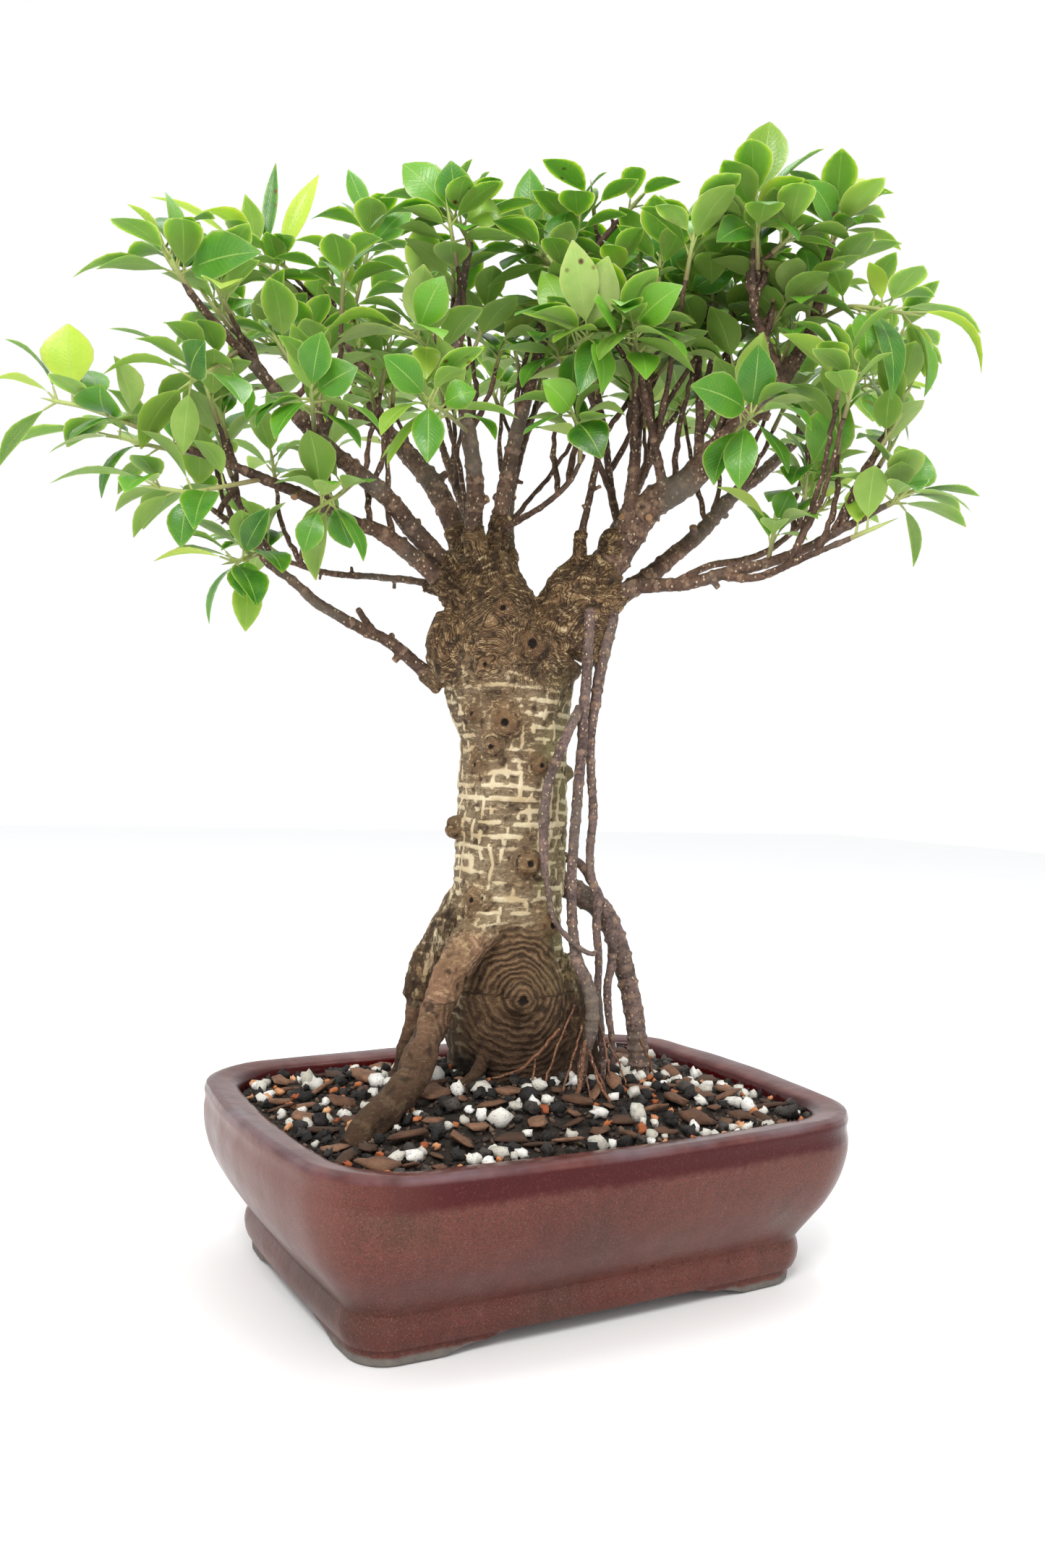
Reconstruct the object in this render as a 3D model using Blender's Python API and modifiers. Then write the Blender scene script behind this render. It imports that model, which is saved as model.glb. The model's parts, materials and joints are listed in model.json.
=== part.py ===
"""Fig bonsai in a glazed oval-cornered pot, modelled at real size.

The pot stands on its four feet at z = 0.  The tree is laid out in its own frame, in millimetres:
x runs along the tree's broad front, y runs from the front to the back, and z is the height above the
table.  That frame is turned by TREE_TURN inside the pot.  Everything is then shifted by ORIGIN_SHIFT,
so that the origin is the middle of the whole object's footprint.
"""

import math

import bmesh
import bpy
from mathutils import Matrix, Vector
from mathutils.bvhtree import BVHTree

MM = 0.001
GAP = 0.4                       # clearance kept between touching pieces, mm
TRIM_GAP = 1.0                  # clearance left where a piece is trimmed by curved wood, mm
TREE_TURN = math.radians(-29)   # the tree's front against the pot's long side
ORIGIN_SHIFT = (4, -20, 0)      # mm

# Pot, mm
POT_LENGTH = 305
POT_WIDTH = 225
POT_HEIGHT = 92.5
RIM_CORNER = 46
LIP_WIDTH = 17
FLOOR_UNDER = 10
FLOOR_TOP = 18
FOOT_HEIGHT = 8
HOLE_RADIUS = 14
HOLE_X = 62
SCREEN_SIDE = 38
SCREEN_THICKNESS = 1.2

# Soil, mm
SOIL_EDGE = 85
SOIL_CROWN = 98
SOIL_CENTRE = (-2, 14)

TRUNK_DETAIL = 0.1             # share of the voxel skin's faces that is kept

# Leaf shape, mm
PETIOLE_SHARE = 0.18
BLADE_THICKNESS = 1.3
BARE_STEM = 0.38                # share of a shoot's stem, from its foot, that bears no leaves

UP = Vector((0, 0, 1))
FRONT = Vector((0, -1, 0.15))
GOLDEN_ANGLE = math.radians(137.5)
SWINGS = [0, 12, -12, 24, -24, 38, -38, 55, -55]    # ways a leaf is turned to find room, degrees
TIPS_UP = [0, 10, -10, 22, -22]

# (inset from the rim's outline, height, corner radius, side bow) from the foot's inside edge, over the
# outside and the lip, and down the inside to the floor
POT_SECTION = [
    (42, FLOOR_UNDER, 12, 1), (41, 0, 13, 1), (29.5, 0, 18, 2), (28, 1.5, 19, 2), (27.5, FOOT_HEIGHT, 19, 2),
    (25.6, FOOT_HEIGHT + 1, 20, 2), (24.3, 13, 20.5, 2), (23.8, 17.5, 21, 2), (24.2, 21, 21, 2),
    (25.3, 24, 20, 2), (23, 28, 22, 2.5), (17.2, 36, 27, 3), (10.3, 46, 33, 3.5), (5, 57, 38, 4),
    (1.6, 68, 42, 4.5), (0.3, 77, 44, 5), (0.7, 84, 45, 5), (0, 88.5, RIM_CORNER, 5),
    (1, 91.5, 45.5, 5), (3.5, POT_HEIGHT, 44, 5), (13.5, 91, 37, 4), (LIP_WIDTH - 0.5, 89, 35, 4),
    (LIP_WIDTH + 0.5, SOIL_EDGE, 34, 4), (18.5, 70, 32, 3), (22, 46, 26, 2), (30, 27, 20, 1),
    (36, FLOOR_TOP + 1, 16, 1), (39, FLOOR_TOP, 14, 1),
]

# Trunk: chains of (x, y, z, radius) that grow together into one piece of wood
TRUNK_CHAINS = [
    # main stem, from under the soil to the crotch
    [(-2, 26, 80, 31), (-4, 26, 95, 34), (-8, 24, 115, 36), (-12, 24, 135, 35), (-13, 23, 155, 33),
     (-13, 23, 180, 30.5), (-12, 23, 215, 30), (-12, 23, 250, 30), (-13, 23, 280, 30), (-15, 23, 300, 34),
     (-16, 23, 320, 38), (-10, 23, 338, 38), (-4, 23, 346, 30)],
    # left and right lobes of the crotch
    [(-20, 22, 330, 26), (-27, 22, 352, 24), (-31, 22, 369, 18), (-33, 22, 381, 12)],
    [(10, 24, 330, 26), (18, 24, 352, 22), (23, 24, 369, 16), (27, 23, 380, 11)],
    # healed lump on the left shoulder
    [(-46, 17, 313, 12), (-50, 15, 325, 13), (-51, 14, 338, 11), (-52, 14, 347, 6)],
    # great front root, sweeping down to the left
    [(-18, 4, 184, 12), (-30, -10, 173, 11), (-40, -23, 158, 9.5), (-45, -31, 143, 8.5), (-49, -38, 130, 8.2),
     (-53, -46, 118, 8.6), (-58, -57, 107, 8.6), (-66, -67, 98, 8.4), (-75, -76, 91, 8), (-83, -85, 83, 6)],
    # grey buttress on the left with its thin tail
    [(-33, 20, 196, 9), (-43, 16, 181, 9), (-52, 12, 164, 8.5), (-58, 10, 150, 8.2), (-60, 8, 138, 7.4)],
    [(-44, 16, 150, 12), (-50, 13, 130, 7)],
    [(-61, 7, 134, 4.4), (-64, 5, 118, 3.6), (-67, 4, 106, 3.2), (-70, 2, 86, 3)],
    # small forked root at the front
    [(-20, 6, 126, 6), (-21, -3, 113, 4.6), (-25, -12, 104, 3.8), (-31, -21, 97, 3.4), (-34, -26, 84, 3.2)],
    # swollen boss with the great swirl, low at the front
    [(-4, 14, 150, 23), (-3, 10, 135, 24), (-2, 14, 120, 25)],
    # right hand buttress
    [(12, 24, 160, 14), (19, 22, 135, 15), (24, 22, 112, 16), (27, 22, 84, 17)],
]
# healed pruning knots: place and radius
KNOTS = [
    (-43, 12, 231, 6.5), (-3, -6, 214, 8), (-29, 0, 193, 6.5), (9, 3, 181, 7.5), (-4, -14, 144, 9),
    (-20, -13, 347, 7), (-6, -14, 329, 9), (-28, -9, 318, 5), (-34, -2, 292, 5), (-17, -7, 288, 8),
    (-23, -5, 275, 6), (-31, 2, 265, 5), (1, -5, 266, 6), (18, 24, 262, 5), (38, 15, 388, 9),
]

# Roots that hang free beside the trunk: (x, y, z, radius)
AERIAL_ROOTS = {
    "aerial_root_front": [
        (22, 0, 298, 2.7), (17, -6, 287, 2.7), (12, -10, 274, 2.7), (7, -11, 260, 2.6), (5, -11, 244, 2.6),
        (5, -11, 228, 2.5), (6, -11, 212, 2.1), (8, -11, 203, 1.6), (10, -11, 192, 1.5), (13, -12, 184, 1.5),
        (19, -12, 177, 1.5), (26, -12, 171, 1.5), (33, -12, 168, 1.5), (36, -12, 170, 1.5)],
    "aerial_root_long": [
        (23, 16, 356, 4.2), (25, 6, 348, 3.4), (25, 4, 332, 3), (25, 4, 314, 3), (24, 3, 295, 2.9),
        (24, 2, 277, 2.9), (23, 1, 260, 2.8), (22, 0, 240, 2.8), (21, -1, 209, 2.8), (22, -4, 185, 2.8),
        (25, -8, 165, 3.2), (31, -10, 152, 3.6), (34, -10, 140, 3.7), (34, -9, 126, 3.4), (31, -8, 112, 2.7),
        (30, -7, 100, 2.4), (29, -6, 84, 2.4)],
    "aerial_root_back": [
        (34, 20, 357, 4.2), (38, 15, 348, 3.6), (36, 14, 336, 3.4), (33, 13, 320, 3.2), (31, 13, 303, 3),
        (29, 13, 283, 2.6), (30, 13, 262, 2.4), (32, 13, 242, 2.4), (31, 13, 222, 2.3), (32, 12, 208, 2.3),
        (36, 11, 194, 2.3), (36, 10, 180, 2.3), (38, 10, 162, 2.2), (38, 9, 146, 2.1), (40, 9, 128, 2.2),
        (42, 9, 112, 2), (43, 10, 96, 1.6), (43, 10, 84, 1.6)],
    "aerial_root_outer": [
        (16, 34, 216, 3), (27, 27, 212, 2.5), (34, 24, 202, 2.5), (40, 22, 190, 2.5), (45, 20, 176, 2.5),
        (46, 20, 160, 2.5), (44, 19, 146, 2.4), (45, 18, 132, 2.2), (48, 18, 114, 1.8), (49, 18, 84, 1.8)],
    "aerial_root_prop": [
        (12, 40, 203, 7), (28, 42, 194, 6.6), (42, 44, 184, 6.2), (51, 45, 166, 6), (56, 45, 150, 5.8),
        (60, 45, 135, 5.6), (63, 44, 120, 5.6), (65, 43, 104, 5.8), (66, 42, 84, 6)],
}

# Branches: the main limb first, then what forks from it, each as (x, y, z, radius)
BRANCHES = {
    "branch_low_left": [
        [(-53, 20, 309, 5), (-63, 17, 315, 4), (-81, 10, 329, 3.3), (-93, 4, 334, 3.2),
         (-106, -4, 340, 3), (-119, -10, 347, 2.8), (-131, -16, 357, 2.5), (-143, -20, 365, 2.2),
         (-151, -24, 376, 2), (-171, -28, 390, 1.4)],
        [(-89, 6, 333, 2.4), (-95, 8, 340, 2), (-100, 9, 347, 1.6)],
    ],
    "branch_left_mid": [
        [(-41, 14, 348, 6), (-58, 4, 365, 5), (-74, -6, 377, 4.4), (-88, -14, 385, 4),
         (-102, -22, 388, 3.6), (-119, -32, 396, 3.2), (-142, -44, 403, 2.6), (-168, -54, 411, 2),
         (-183, -60, 414, 1.6)],
    ],
    "branch_left_thin": [
        [(-44, 30, 358, 3), (-67, 36, 366, 2.2), (-93, 42, 369, 2), (-122, 48, 371, 1.8),
         (-152, 54, 379, 1.4)],
    ],
    "branch_left_rise": [
        [(-41, 20, 359, 7), (-57, 10, 376, 5.6), (-70, 0, 388, 5.2), (-83, -12, 402, 4.8),
         (-97, -22, 412, 4.4), (-118, -36, 427, 3.8), (-135, -48, 444, 3.2), (-153, -58, 462, 2.4),
         (-171, -66, 480, 1.9), (-178, -70, 489, 1.5)],
    ],
    "branch_left_crown": [
        [(-37, 34, 369, 7.5), (-50, 38, 397, 6.4), (-63, 42, 421, 6), (-81, 48, 442, 5.2),
         (-97, 54, 460, 4.4), (-107, 60, 486, 3.6), (-119, 66, 509, 3), (-136, 72, 528, 2.4),
         (-154, 76, 543, 1.8)],
        [(-92, 52, 456, 3.4), (-116, 66, 468, 3), (-138, 80, 485, 2.5), (-160, 92, 507, 2)],
    ],
    "branch_upright_left": [
        [(-35, 20, 371, 6.4), (-39, 14, 395, 5), (-39, 8, 417, 4.6), (-43, 2, 441, 4.2),
         (-48, -6, 466, 3.4), (-51, -12, 494, 2.8), (-48, -16, 516, 2.2), (-45, -20, 534, 1.8)],
    ],
    "branch_upright_centre": [
        [(-28, 28, 372, 6), (-25, 30, 404, 4.8), (-21, 32, 433, 4.4), (-17, 32, 455, 4),
         (-11, 30, 479, 3.6), (-4, 26, 506, 3), (4, 22, 530, 2.4), (19, 18, 547, 2), (37, 14, 567, 1.7)],
        [(-23, 24, 396, 2.4), (-12, 6, 399, 1.8), (0, -4, 405, 1.6), (11, -12, 415, 1.5),
         (18, -18, 428, 1.2)],
    ],
    "branch_right_main": [
        [(21, 22, 359, 12), (35, 20, 377, 10), (45, 16, 393, 9), (57, 10, 410, 8.4), (74, 2, 420, 7.4),
         (86, -6, 434, 6.6), (96, -10, 444, 6), (110, -14, 459, 5.4), (122, -18, 476, 4.6),
         (132, -22, 494, 3.6), (136, -26, 516, 2.8), (139, -30, 537, 2)],
        [(44, 10, 394, 4.4), (45, 4, 416, 3.4), (46, 0, 437, 3.1), (43, -2, 461, 2.7)],
        [(43, 20, 392, 3), (38, 28, 410, 2.4), (35, 34, 428, 2.2), (32, 40, 452, 1.9), (26, 46, 486, 1.4)],
        [(63, 6, 415, 3.2), (57, -6, 431, 2.4), (52, -16, 446, 2), (44, -26, 472, 1.4)],
        [(80, 0, 428, 3.4), (81, 10, 451, 2.6), (81, 16, 477, 2), (78, 20, 497, 1.6)],
        [(95, -8, 444, 3.8), (92, -2, 465, 3), (87, 6, 486, 2.5), (79, 14, 509, 2)],
        [(119, -18, 471, 3.4), (107, -30, 486, 2.6), (99, -38, 502, 2.2), (97, -44, 527, 1.7)],
    ],
    "branch_right_rise": [
        [(27, 30, 350, 8), (42, 36, 362, 6), (58, 42, 374, 5.2), (73, 48, 388, 4.8), (91, 54, 405, 4.4),
         (108, 60, 426, 4), (128, 66, 444, 3.6), (148, 72, 465, 3.1), (167, 78, 485, 2.6),
         (194, 86, 515, 1.8)],
    ],
    "branch_right_low": [
        [(31, 12, 354, 6), (44, 4, 362, 4.4), (60, -4, 364, 3.8), (75, -12, 364, 3.4),
         (93, -22, 369, 3.1), (111, -30, 373, 2.8), (128, -40, 379, 2.5), (150, -54, 391, 2),
         (164, -60, 399, 1.6)],
        [(89, -20, 368, 2.4), (106, -36, 365, 2.1), (126, -50, 373, 1.8), (147, -62, 382, 1.4)],
        [(69, -8, 365, 2.2), (88, 0, 376, 2), (105, 4, 380, 1.9), (121, 6, 387, 1.7), (142, 4, 405, 1.3)],
    ],
    "branch_right_twig": [
        [(17, 16, 368, 3), (20, 12, 394, 2.1), (24, 8, 418, 1.9), (27, 4, 441, 1.7), (24, 2, 467, 1.3)],
    ],
    "branch_back_left": [
        [(-22, 32, 362, 5.5), (-36, 62, 390, 4.2), (-50, 92, 424, 3.2), (-62, 116, 455, 2.4),
         (-71, 134, 482, 1.6)],
    ],
    "branch_back_right": [
        [(22, 34, 360, 5.5), (34, 64, 390, 4.2), (50, 92, 424, 3.2), (64, 114, 456, 2.4),
         (75, 128, 484, 1.6)],
    ],
    "branch_back_middle": [
        [(-14, 44, 352, 5.5), (-20, 72, 390, 4), (-21, 94, 426, 3), (-15, 108, 460, 2.2),
         (-6, 116, 492, 1.6)],
    ],
}

# Leafy shoots: stem points, leaves set by hand as (share along the stem, tip, width, lift, facing),
# and how many more leaves fill the stem
SHOOTS = {
    "shoot_far_left": ([(-180, -59, 413), (-202, -64, 422), (-222, -68, 428), (-236, -70, 430)], [
        (1, (-264, -76, 440), 15, 4, UP),
        (0.8, (-231, -74, 466), 26, 1, FRONT),
        (0.5, (-229, -50, 453), 15, 5, UP),
        (0.35, (-211, -84, 435), 25, 3, FRONT),
    ], 2),
    "shoot_low_left_outer": ([(-167, -54, 411), (-192, -44, 416), (-216, -38, 422)], [
        (1, (-274, -46, 397), 16, 8, UP),
        (0.45, (-217, -60, 387), 17, 9, UP),
        (0.7, (-247, -8, 438), 16, 5, UP),
    ], 2),
    "shoot_low_left_inner": ([(-142, -44, 403), (-158, -56, 396), (-173, -64, 391), (-186, -70, 391)], [
        (1, (-236, -78, 391), 14, 7, UP),
        (0.8, (-211, -58, 382), 13, 4, UP),
        (0.55, (-175, -70, 363), 16, 3, FRONT),
    ], 3),
    "shoot_low_left_drop": ([(-147, -23, 370), (-151, -33, 365), (-156, -40, 362)], [
        (1, (-195, -46, 360), 12, 4, UP),
        (0.5, (-167, -44, 330), 14, 5, UP),
        (0.3, (-148, -54, 343), 17, 3, FRONT),
        (0.6, (-138, -52, 387), 14, 2, FRONT),
    ], 2),
    "shoot_left_middle": ([(-153, -58, 462), (-162, -70, 449), (-170, -80, 439)], [
        (0.9, (-208, -92, 438), 15, 7, UP),
        (1, (-160, -104, 450), 20, 2, FRONT),
        (0.5, (-222, -40, 477), 14, 3, UP),
    ], 3),
    "shoot_left_high": ([(-174, -68, 484), (-180, -72, 493), (-183, -74, 498)], [
        (1, (-203, -78, 522), 12, 2, UP),
        (0.6, (-209, -60, 501), 16, 6, UP),
        (0.2, (-228, -80, 487), 13, 7, UP),
        (0.3, (-138, -92, 497), 24, 3, FRONT),
    ], 2),
    "shoot_left_crown_outer": ([(-148, 75, 538), (-165, 72, 550), (-181, 70, 558)], [
        (1, (-236, 66, 590), 14, 5, UP),
        (0.7, (-206, 50, 570), 20, 8, UP),
        (0.5, (-166, 74, 614), 9, 1, FRONT),
        (0.2, (-140, 70, 607), 13, 3, FRONT),
    ], 2),
    "shoot_left_crown_back": ([(-155, 89, 503), (-180, 100, 521), (-198, 108, 533)], [], 7),
    "shoot_left_crown_top": ([(-119, 66, 510), (-113, 60, 534), (-108, 56, 556), (-104, 54, 567)], [
        (1, (-122, 64, 608), 12, 2, FRONT),
        (0.9, (-138, 36, 566), 18, 8, UP),
        (0.7, (-83, 50, 582), 20, 3, FRONT),
    ], 5),
    "shoot_upright_left_top": ([(-45, -19, 529), (-48, -26, 537), (-53, -30, 541)], [
        (1, (-80, -34, 567), 22, 4, FRONT),
        (0.7, (-93, -14, 560), 17, 6, UP),
        (0.85, (-55, -44, 564), 20, 3, FRONT),
        (0.5, (-93, -54, 526), 18, 9, UP),
        (0.6, (-29, -30, 547), 20, 4, FRONT),
    ], 2),
    "shoot_upright_left_front": ([(-48, -6, 466), (-60, -30, 472), (-71, -52, 475)], [
        (1, (-113, -70, 465), 18, 9, UP),
        (0.8, (-55, -66, 499), 20, 4, FRONT),
        (0.6, (-100, -30, 499), 18, 6, UP),
    ], 5),
    "shoot_left_rise_front": ([(-119, -36, 428), (-116, -60, 434), (-114, -78, 436)], [
        (1, (-108, -92, 461), 17, 2, FRONT),
        (0.9, (-92, -84, 448), 20, 2, FRONT),
        (0.8, (-138, -90, 417), 17, 4, UP),
        (0.6, (-97, -60, 430), 16, 4, UP),
    ], 4),
    "shoot_left_rise_low": ([(-97, -22, 411), (-106, -38, 397), (-112, -48, 390)], [
        (1, (-120, -52, 366), 15, 2, FRONT),
        (0.8, (-133, -64, 397), 14, 5, UP),
        (0.6, (-98, -40, 371), 16, 3, FRONT),
    ], 3),
    "shoot_centre_top": ([(5, 22, 532), (-6, 14, 539), (-15, 8, 544)], [
        (1, (-16, 4, 585), 18, 2, FRONT),
        (0.8, (-40, -6, 563), 20, 5, UP),
        (0.7, (12, 10, 571), 20, 4, FRONT),
        (0.5, (20, -10, 548), 18, 6, UP),
    ], 4),
    "shoot_centre_front": ([(-10, 30, 481), (4, 0, 482), (11, -30, 480), (16, -52, 477)], [
        (1, (6, -70, 516), 20, 3, FRONT),
        (0.9, (30, -72, 503), 22, 2, FRONT),
        (0.85, (-20, -76, 488), 24, 6, UP),
        (0.8, (39, -60, 485), 18, 5, UP),
        (0.6, (-8, -30, 518), 20, 4, FRONT),
    ], 4),
    "shoot_centre_cross": ([(16, -17, 424), (15, -28, 435), (11, -38, 442)], [
        (1, (-3, -50, 459), 18, 3, FRONT),
        (0.8, (25, -56, 418), 22, 4, FRONT),
        (0.6, (38, -30, 448), 16, 5, UP),
    ], 3),
    "shoot_left_front_low": ([(-43, 2, 442), (-51, -40, 439), (-59, -76, 436)], [
        (1, (-78, -96, 450), 18, 2, FRONT),
        (0.9, (-33, -100, 455), 16, 6, UP),
        (0.8, (-79, -100, 414), 16, 5, UP),
        (0.6, (-37, -62, 446), 16, 4, FRONT),
    ], 4),
    "shoot_centre_right_front": ([(-4, 26, 507), (15, -16, 494), (31, -56, 477)], [
        (1, (62, -84, 459), 20, 6, UP),
        (0.9, (18, -90, 488), 20, 3, FRONT),
        (0.8, (46, -50, 499), 22, 5, UP),
        (0.7, (6, -70, 458), 18, 4, FRONT),
    ], 4),
    "shoot_right_crown_tip": ([(139, -29, 533), (140, -31, 541), (141, -32, 545)], [
        (1, (167, -38, 562), 15, 4, UP),
        (0.8, (160, -10, 581), 13, 3, FRONT),
        (0.5, (178, -20, 541), 12, 5, UP),
        (0.6, (122, -50, 559), 17, 3, FRONT),
    ], 3),
    "shoot_right_front_top": ([(97, -43, 523), (96, -46, 536), (96, -47, 545)], [
        (1, (102, -50, 588), 23, 1, FRONT),
        (0.7, (140, -22, 580), 12, 3, UP),
        (0.5, (76, -34, 559), 22, 4, FRONT),
        (0.15, (115, -72, 522), 17, 6, UP),
        (0.33, (75, -70, 519), 18, 4, FRONT),
    ], 1),
    "shoot_right_yellow": ([(132, -22, 498), (145, -40, 501), (162, -52, 496), (169, -55, 494)], [
        (1, (207, -66, 463), 19, 11, UP),
        (0.8, (218, -28, 497), 14, 6, UP),
        (0.7, (149, -66, 514), 10, 4, UP),
        (0.2, (161, -74, 446), 16, 12, UP),
        (0.5, (164, -24, 478), 18, 5, UP),
    ], 3),
    "shoot_right_middle": ([(168, 78, 486), (178, 64, 492), (186, 54, 493)], [
        (1, (219, 48, 491), 10, 2, UP),
        (0.8, (206, 44, 459), 14, 4, UP),
        (0.6, (221, 84, 486), 15, 5, UP),
    ], 4),
    "shoot_right_rise_tip": ([(187, 84, 509), (205, 92, 528), (216, 96, 539)], [], 7),
    "shoot_right_big": ([(140, 4, 403), (135, -10, 412), (133, -22, 421)], [
        (1, (149, -34, 457), 26, 2, FRONT),
        (0.6, (114, -24, 422), 14, 3, UP),
        (0.5, (165, 2, 430), 15, 4, UP),
    ], 3),
    "shoot_right_low_tip": ([(163, -59, 398), (167, -62, 400), (170, -64, 403)], [
        (1, (180, -66, 423), 21, 1, FRONT),
        (0.5, (178, -62, 369), 16, 5, UP),
        (0.2, (133, -72, 409), 12, 4, UP),
        (0.6, (207, -40, 403), 15, 4, UP),
    ], 2),
    "shoot_right_inner": ([(81, 12, 504), (73, 6, 515), (64, 0, 522)], [
        (1, (53, -12, 551), 22, 3, FRONT),
        (0.8, (35, -20, 522), 18, 5, UP),
        (0.6, (94, -14, 530), 20, 4, FRONT),
    ], 4),
    "shoot_right_inner_front": ([(96, -10, 444), (97, -40, 442), (96, -62, 439)], [
        (1, (64, -84, 446), 23, 4, FRONT),
        (0.9, (121, -86, 427), 17, 7, UP),
        (0.8, (96, -80, 465), 20, 3, FRONT),
        (0.6, (118, -52, 454), 18, 5, UP),
    ], 3),
    "shoot_right_mid_top": ([(79, 19, 491), (78, 30, 517), (74, 38, 539), (71, 42, 555)], [
        (1, (58, 44, 591), 17, 1, FRONT),
        (0.8, (87, 36, 594), 18, 4, FRONT),
        (0.6, (106, 50, 569), 20, 4, UP),
    ], 4),
    "shoot_right_twig_top": ([(27, 45, 480), (24, 56, 506), (23, 64, 527)], [
        (1, (34, 70, 574), 18, 2, FRONT),
    ], 5),
    "shoot_right_twig_front": ([(45, -24, 468), (41, -40, 477), (38, -54, 481)], [
        (1, (53, -74, 505), 20, 3, FRONT),
        (0.8, (15, -84, 478), 18, 5, UP),
        (0.6, (70, -46, 490), 18, 5, UP),
    ], 3),
    "shoot_back_left": ([(-68, 131, 475), (-76, 140, 492), (-84, 146, 504)], [], 7),
    "shoot_back_right": ([(73, 127, 480), (80, 134, 494), (88, 140, 506)], [], 7),
    "shoot_back_middle": ([(-8, 114, 485), (-4, 119, 504), (0, 122, 520)], [], 7),
    "shoot_left_thin_tip": ([(-146, 53, 379), (-157, 56, 385), (-163, 60, 393)], [], 3),
    "shoot_right_low_middle": ([(113, -31, 374), (114, -36, 385), (114, -38, 392)], [
        (1, (116, -40, 410), 14, 1, FRONT),
        (0.5, (133, -30, 386), 10, 2, UP),
    ], 1),
}

MATERIALS = {
    # name: base colour, roughness
    "glaze": ((0.16, 0.05, 0.045), 0.32),
    "soil": ((0.05, 0.035, 0.025), 0.95),
    "screen": ((0.02, 0.02, 0.02), 0.6),
    "bark": ((0.25, 0.19, 0.12), 0.85),
    "root_bark": ((0.17, 0.11, 0.08), 0.8),
    "twig_bark": ((0.14, 0.09, 0.06), 0.8),
    "leaf": ((0.10, 0.22, 0.03), 0.4),
}

# --------------------------------------------------------------------------- general tools


def clear_scene():
    for old in list(bpy.data.objects):
        bpy.data.objects.remove(old, do_unlink=True)


def new_collection(name):
    collection = bpy.data.collections.new(name)
    bpy.context.scene.collection.children.link(collection)
    return collection


def material(name):
    made = bpy.data.materials.get(name)
    if made:
        return made
    colour, roughness = MATERIALS[name]
    made = bpy.data.materials.new(name)
    made.use_nodes = True
    shader = made.node_tree.nodes["Principled BSDF"]
    shader.inputs["Base Color"].default_value = (*colour, 1)
    shader.inputs["Roughness"].default_value = roughness
    shader.inputs["Metallic"].default_value = 0
    made.diffuse_color = (*colour, 1)
    return made


def new_object(name, mesh, collection, parent=None, finish=None):
    obj = bpy.data.objects.new(name, mesh)
    collection.objects.link(obj)
    obj.parent = parent
    if finish:
        mesh.materials.clear()
        mesh.materials.append(material(finish))
    return obj


def evaluated_mesh(obj):
    bpy.context.view_layer.update()
    graph = bpy.context.evaluated_depsgraph_get()
    return bpy.data.meshes.new_from_object(obj.evaluated_get(graph))


def mesh_from(bm, name):
    """The closed solid as a mesh, with its faces turned outwards."""
    bmesh.ops.recalc_face_normals(bm, faces=bm.faces)
    if bm.calc_volume(signed=True) < 0:
        bmesh.ops.reverse_faces(bm, faces=bm.faces)
    mesh = bpy.data.meshes.new(name)
    bm.to_mesh(mesh)
    bm.free()
    return mesh


def joined(meshes, name):
    bm = bmesh.new()
    for mesh in meshes:
        bm.from_mesh(mesh)
    mesh = bpy.data.meshes.new(name)
    bm.to_mesh(mesh)
    bm.free()
    return mesh


def grown(mesh, amount=GAP):
    """A copy of a mesh, pushed outwards by a clearance in millimetres."""
    bm = bmesh.new()
    bm.from_mesh(mesh)
    bm.normal_update()
    moves = [(vert, vert.normal * amount * MM) for vert in bm.verts]
    for vert, move in moves:
        vert.co += move
    copy = bpy.data.meshes.new(mesh.name + "_grown")
    bm.to_mesh(copy)
    bm.free()
    return copy


def combined(mesh, others, operation, name, solver="EXACT"):
    """The mesh after a Boolean with each of the others in turn."""
    work = bpy.context.scene.collection
    target = bpy.data.objects.new(name + "_work", mesh)
    work.objects.link(target)
    tools = []
    for other in others:
        tool = bpy.data.objects.new(name + "_tool", other)
        work.objects.link(tool)
        step = target.modifiers.new(operation.title(), "BOOLEAN")
        step.operation = operation
        step.object = tool
        step.solver = solver
        tools.append(tool)
    result = evaluated_mesh(target)
    result.name = name
    for used in [target, *tools]:
        bpy.data.objects.remove(used, do_unlink=True)
    return result


def largest_body(mesh):
    """The mesh without the crumbs that trimming leaves beside its main body."""
    bm = bmesh.new()
    bm.from_mesh(mesh)
    left = set(bm.verts)
    bodies = []
    while left:
        body = {left.pop()}
        edge_of_body = list(body)
        while edge_of_body:
            vert = edge_of_body.pop()
            for edge in vert.link_edges:
                other = edge.other_vert(vert)
                if other in left:
                    left.remove(other)
                    body.add(other)
                    edge_of_body.append(other)
        bodies.append(body)
    bodies.sort(key=lambda body: max(vert.co.z for vert in body) - min(vert.co.z for vert in body))
    crumbs = [vert for body in bodies[:-1] for vert in body]
    bmesh.ops.delete(bm, geom=crumbs, context="VERTS")
    bm.to_mesh(mesh)
    bm.free()
    return mesh


def moved(mesh, matrix):
    copy = mesh.copy()
    copy.transform(matrix)
    return copy


def smooth_path(points, steps):
    """Catmull-Rom samples through (x, y, z, radius) points."""
    rows = [Vector(point) for point in points]
    rows = [rows[0] * 2 - rows[1], *rows, rows[-1] * 2 - rows[-2]]
    path = []
    for a, b, c, d in zip(rows, rows[1:], rows[2:], rows[3:]):
        for step in range(steps):
            t = step / steps
            path.append(0.5 * (2 * b + (c - a) * t + (2 * a - 5 * b + 4 * c - d) * t * t
                               + (3 * b - a - 3 * c + d) * t * t * t))
    path.append(rows[-2])
    return path


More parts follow.
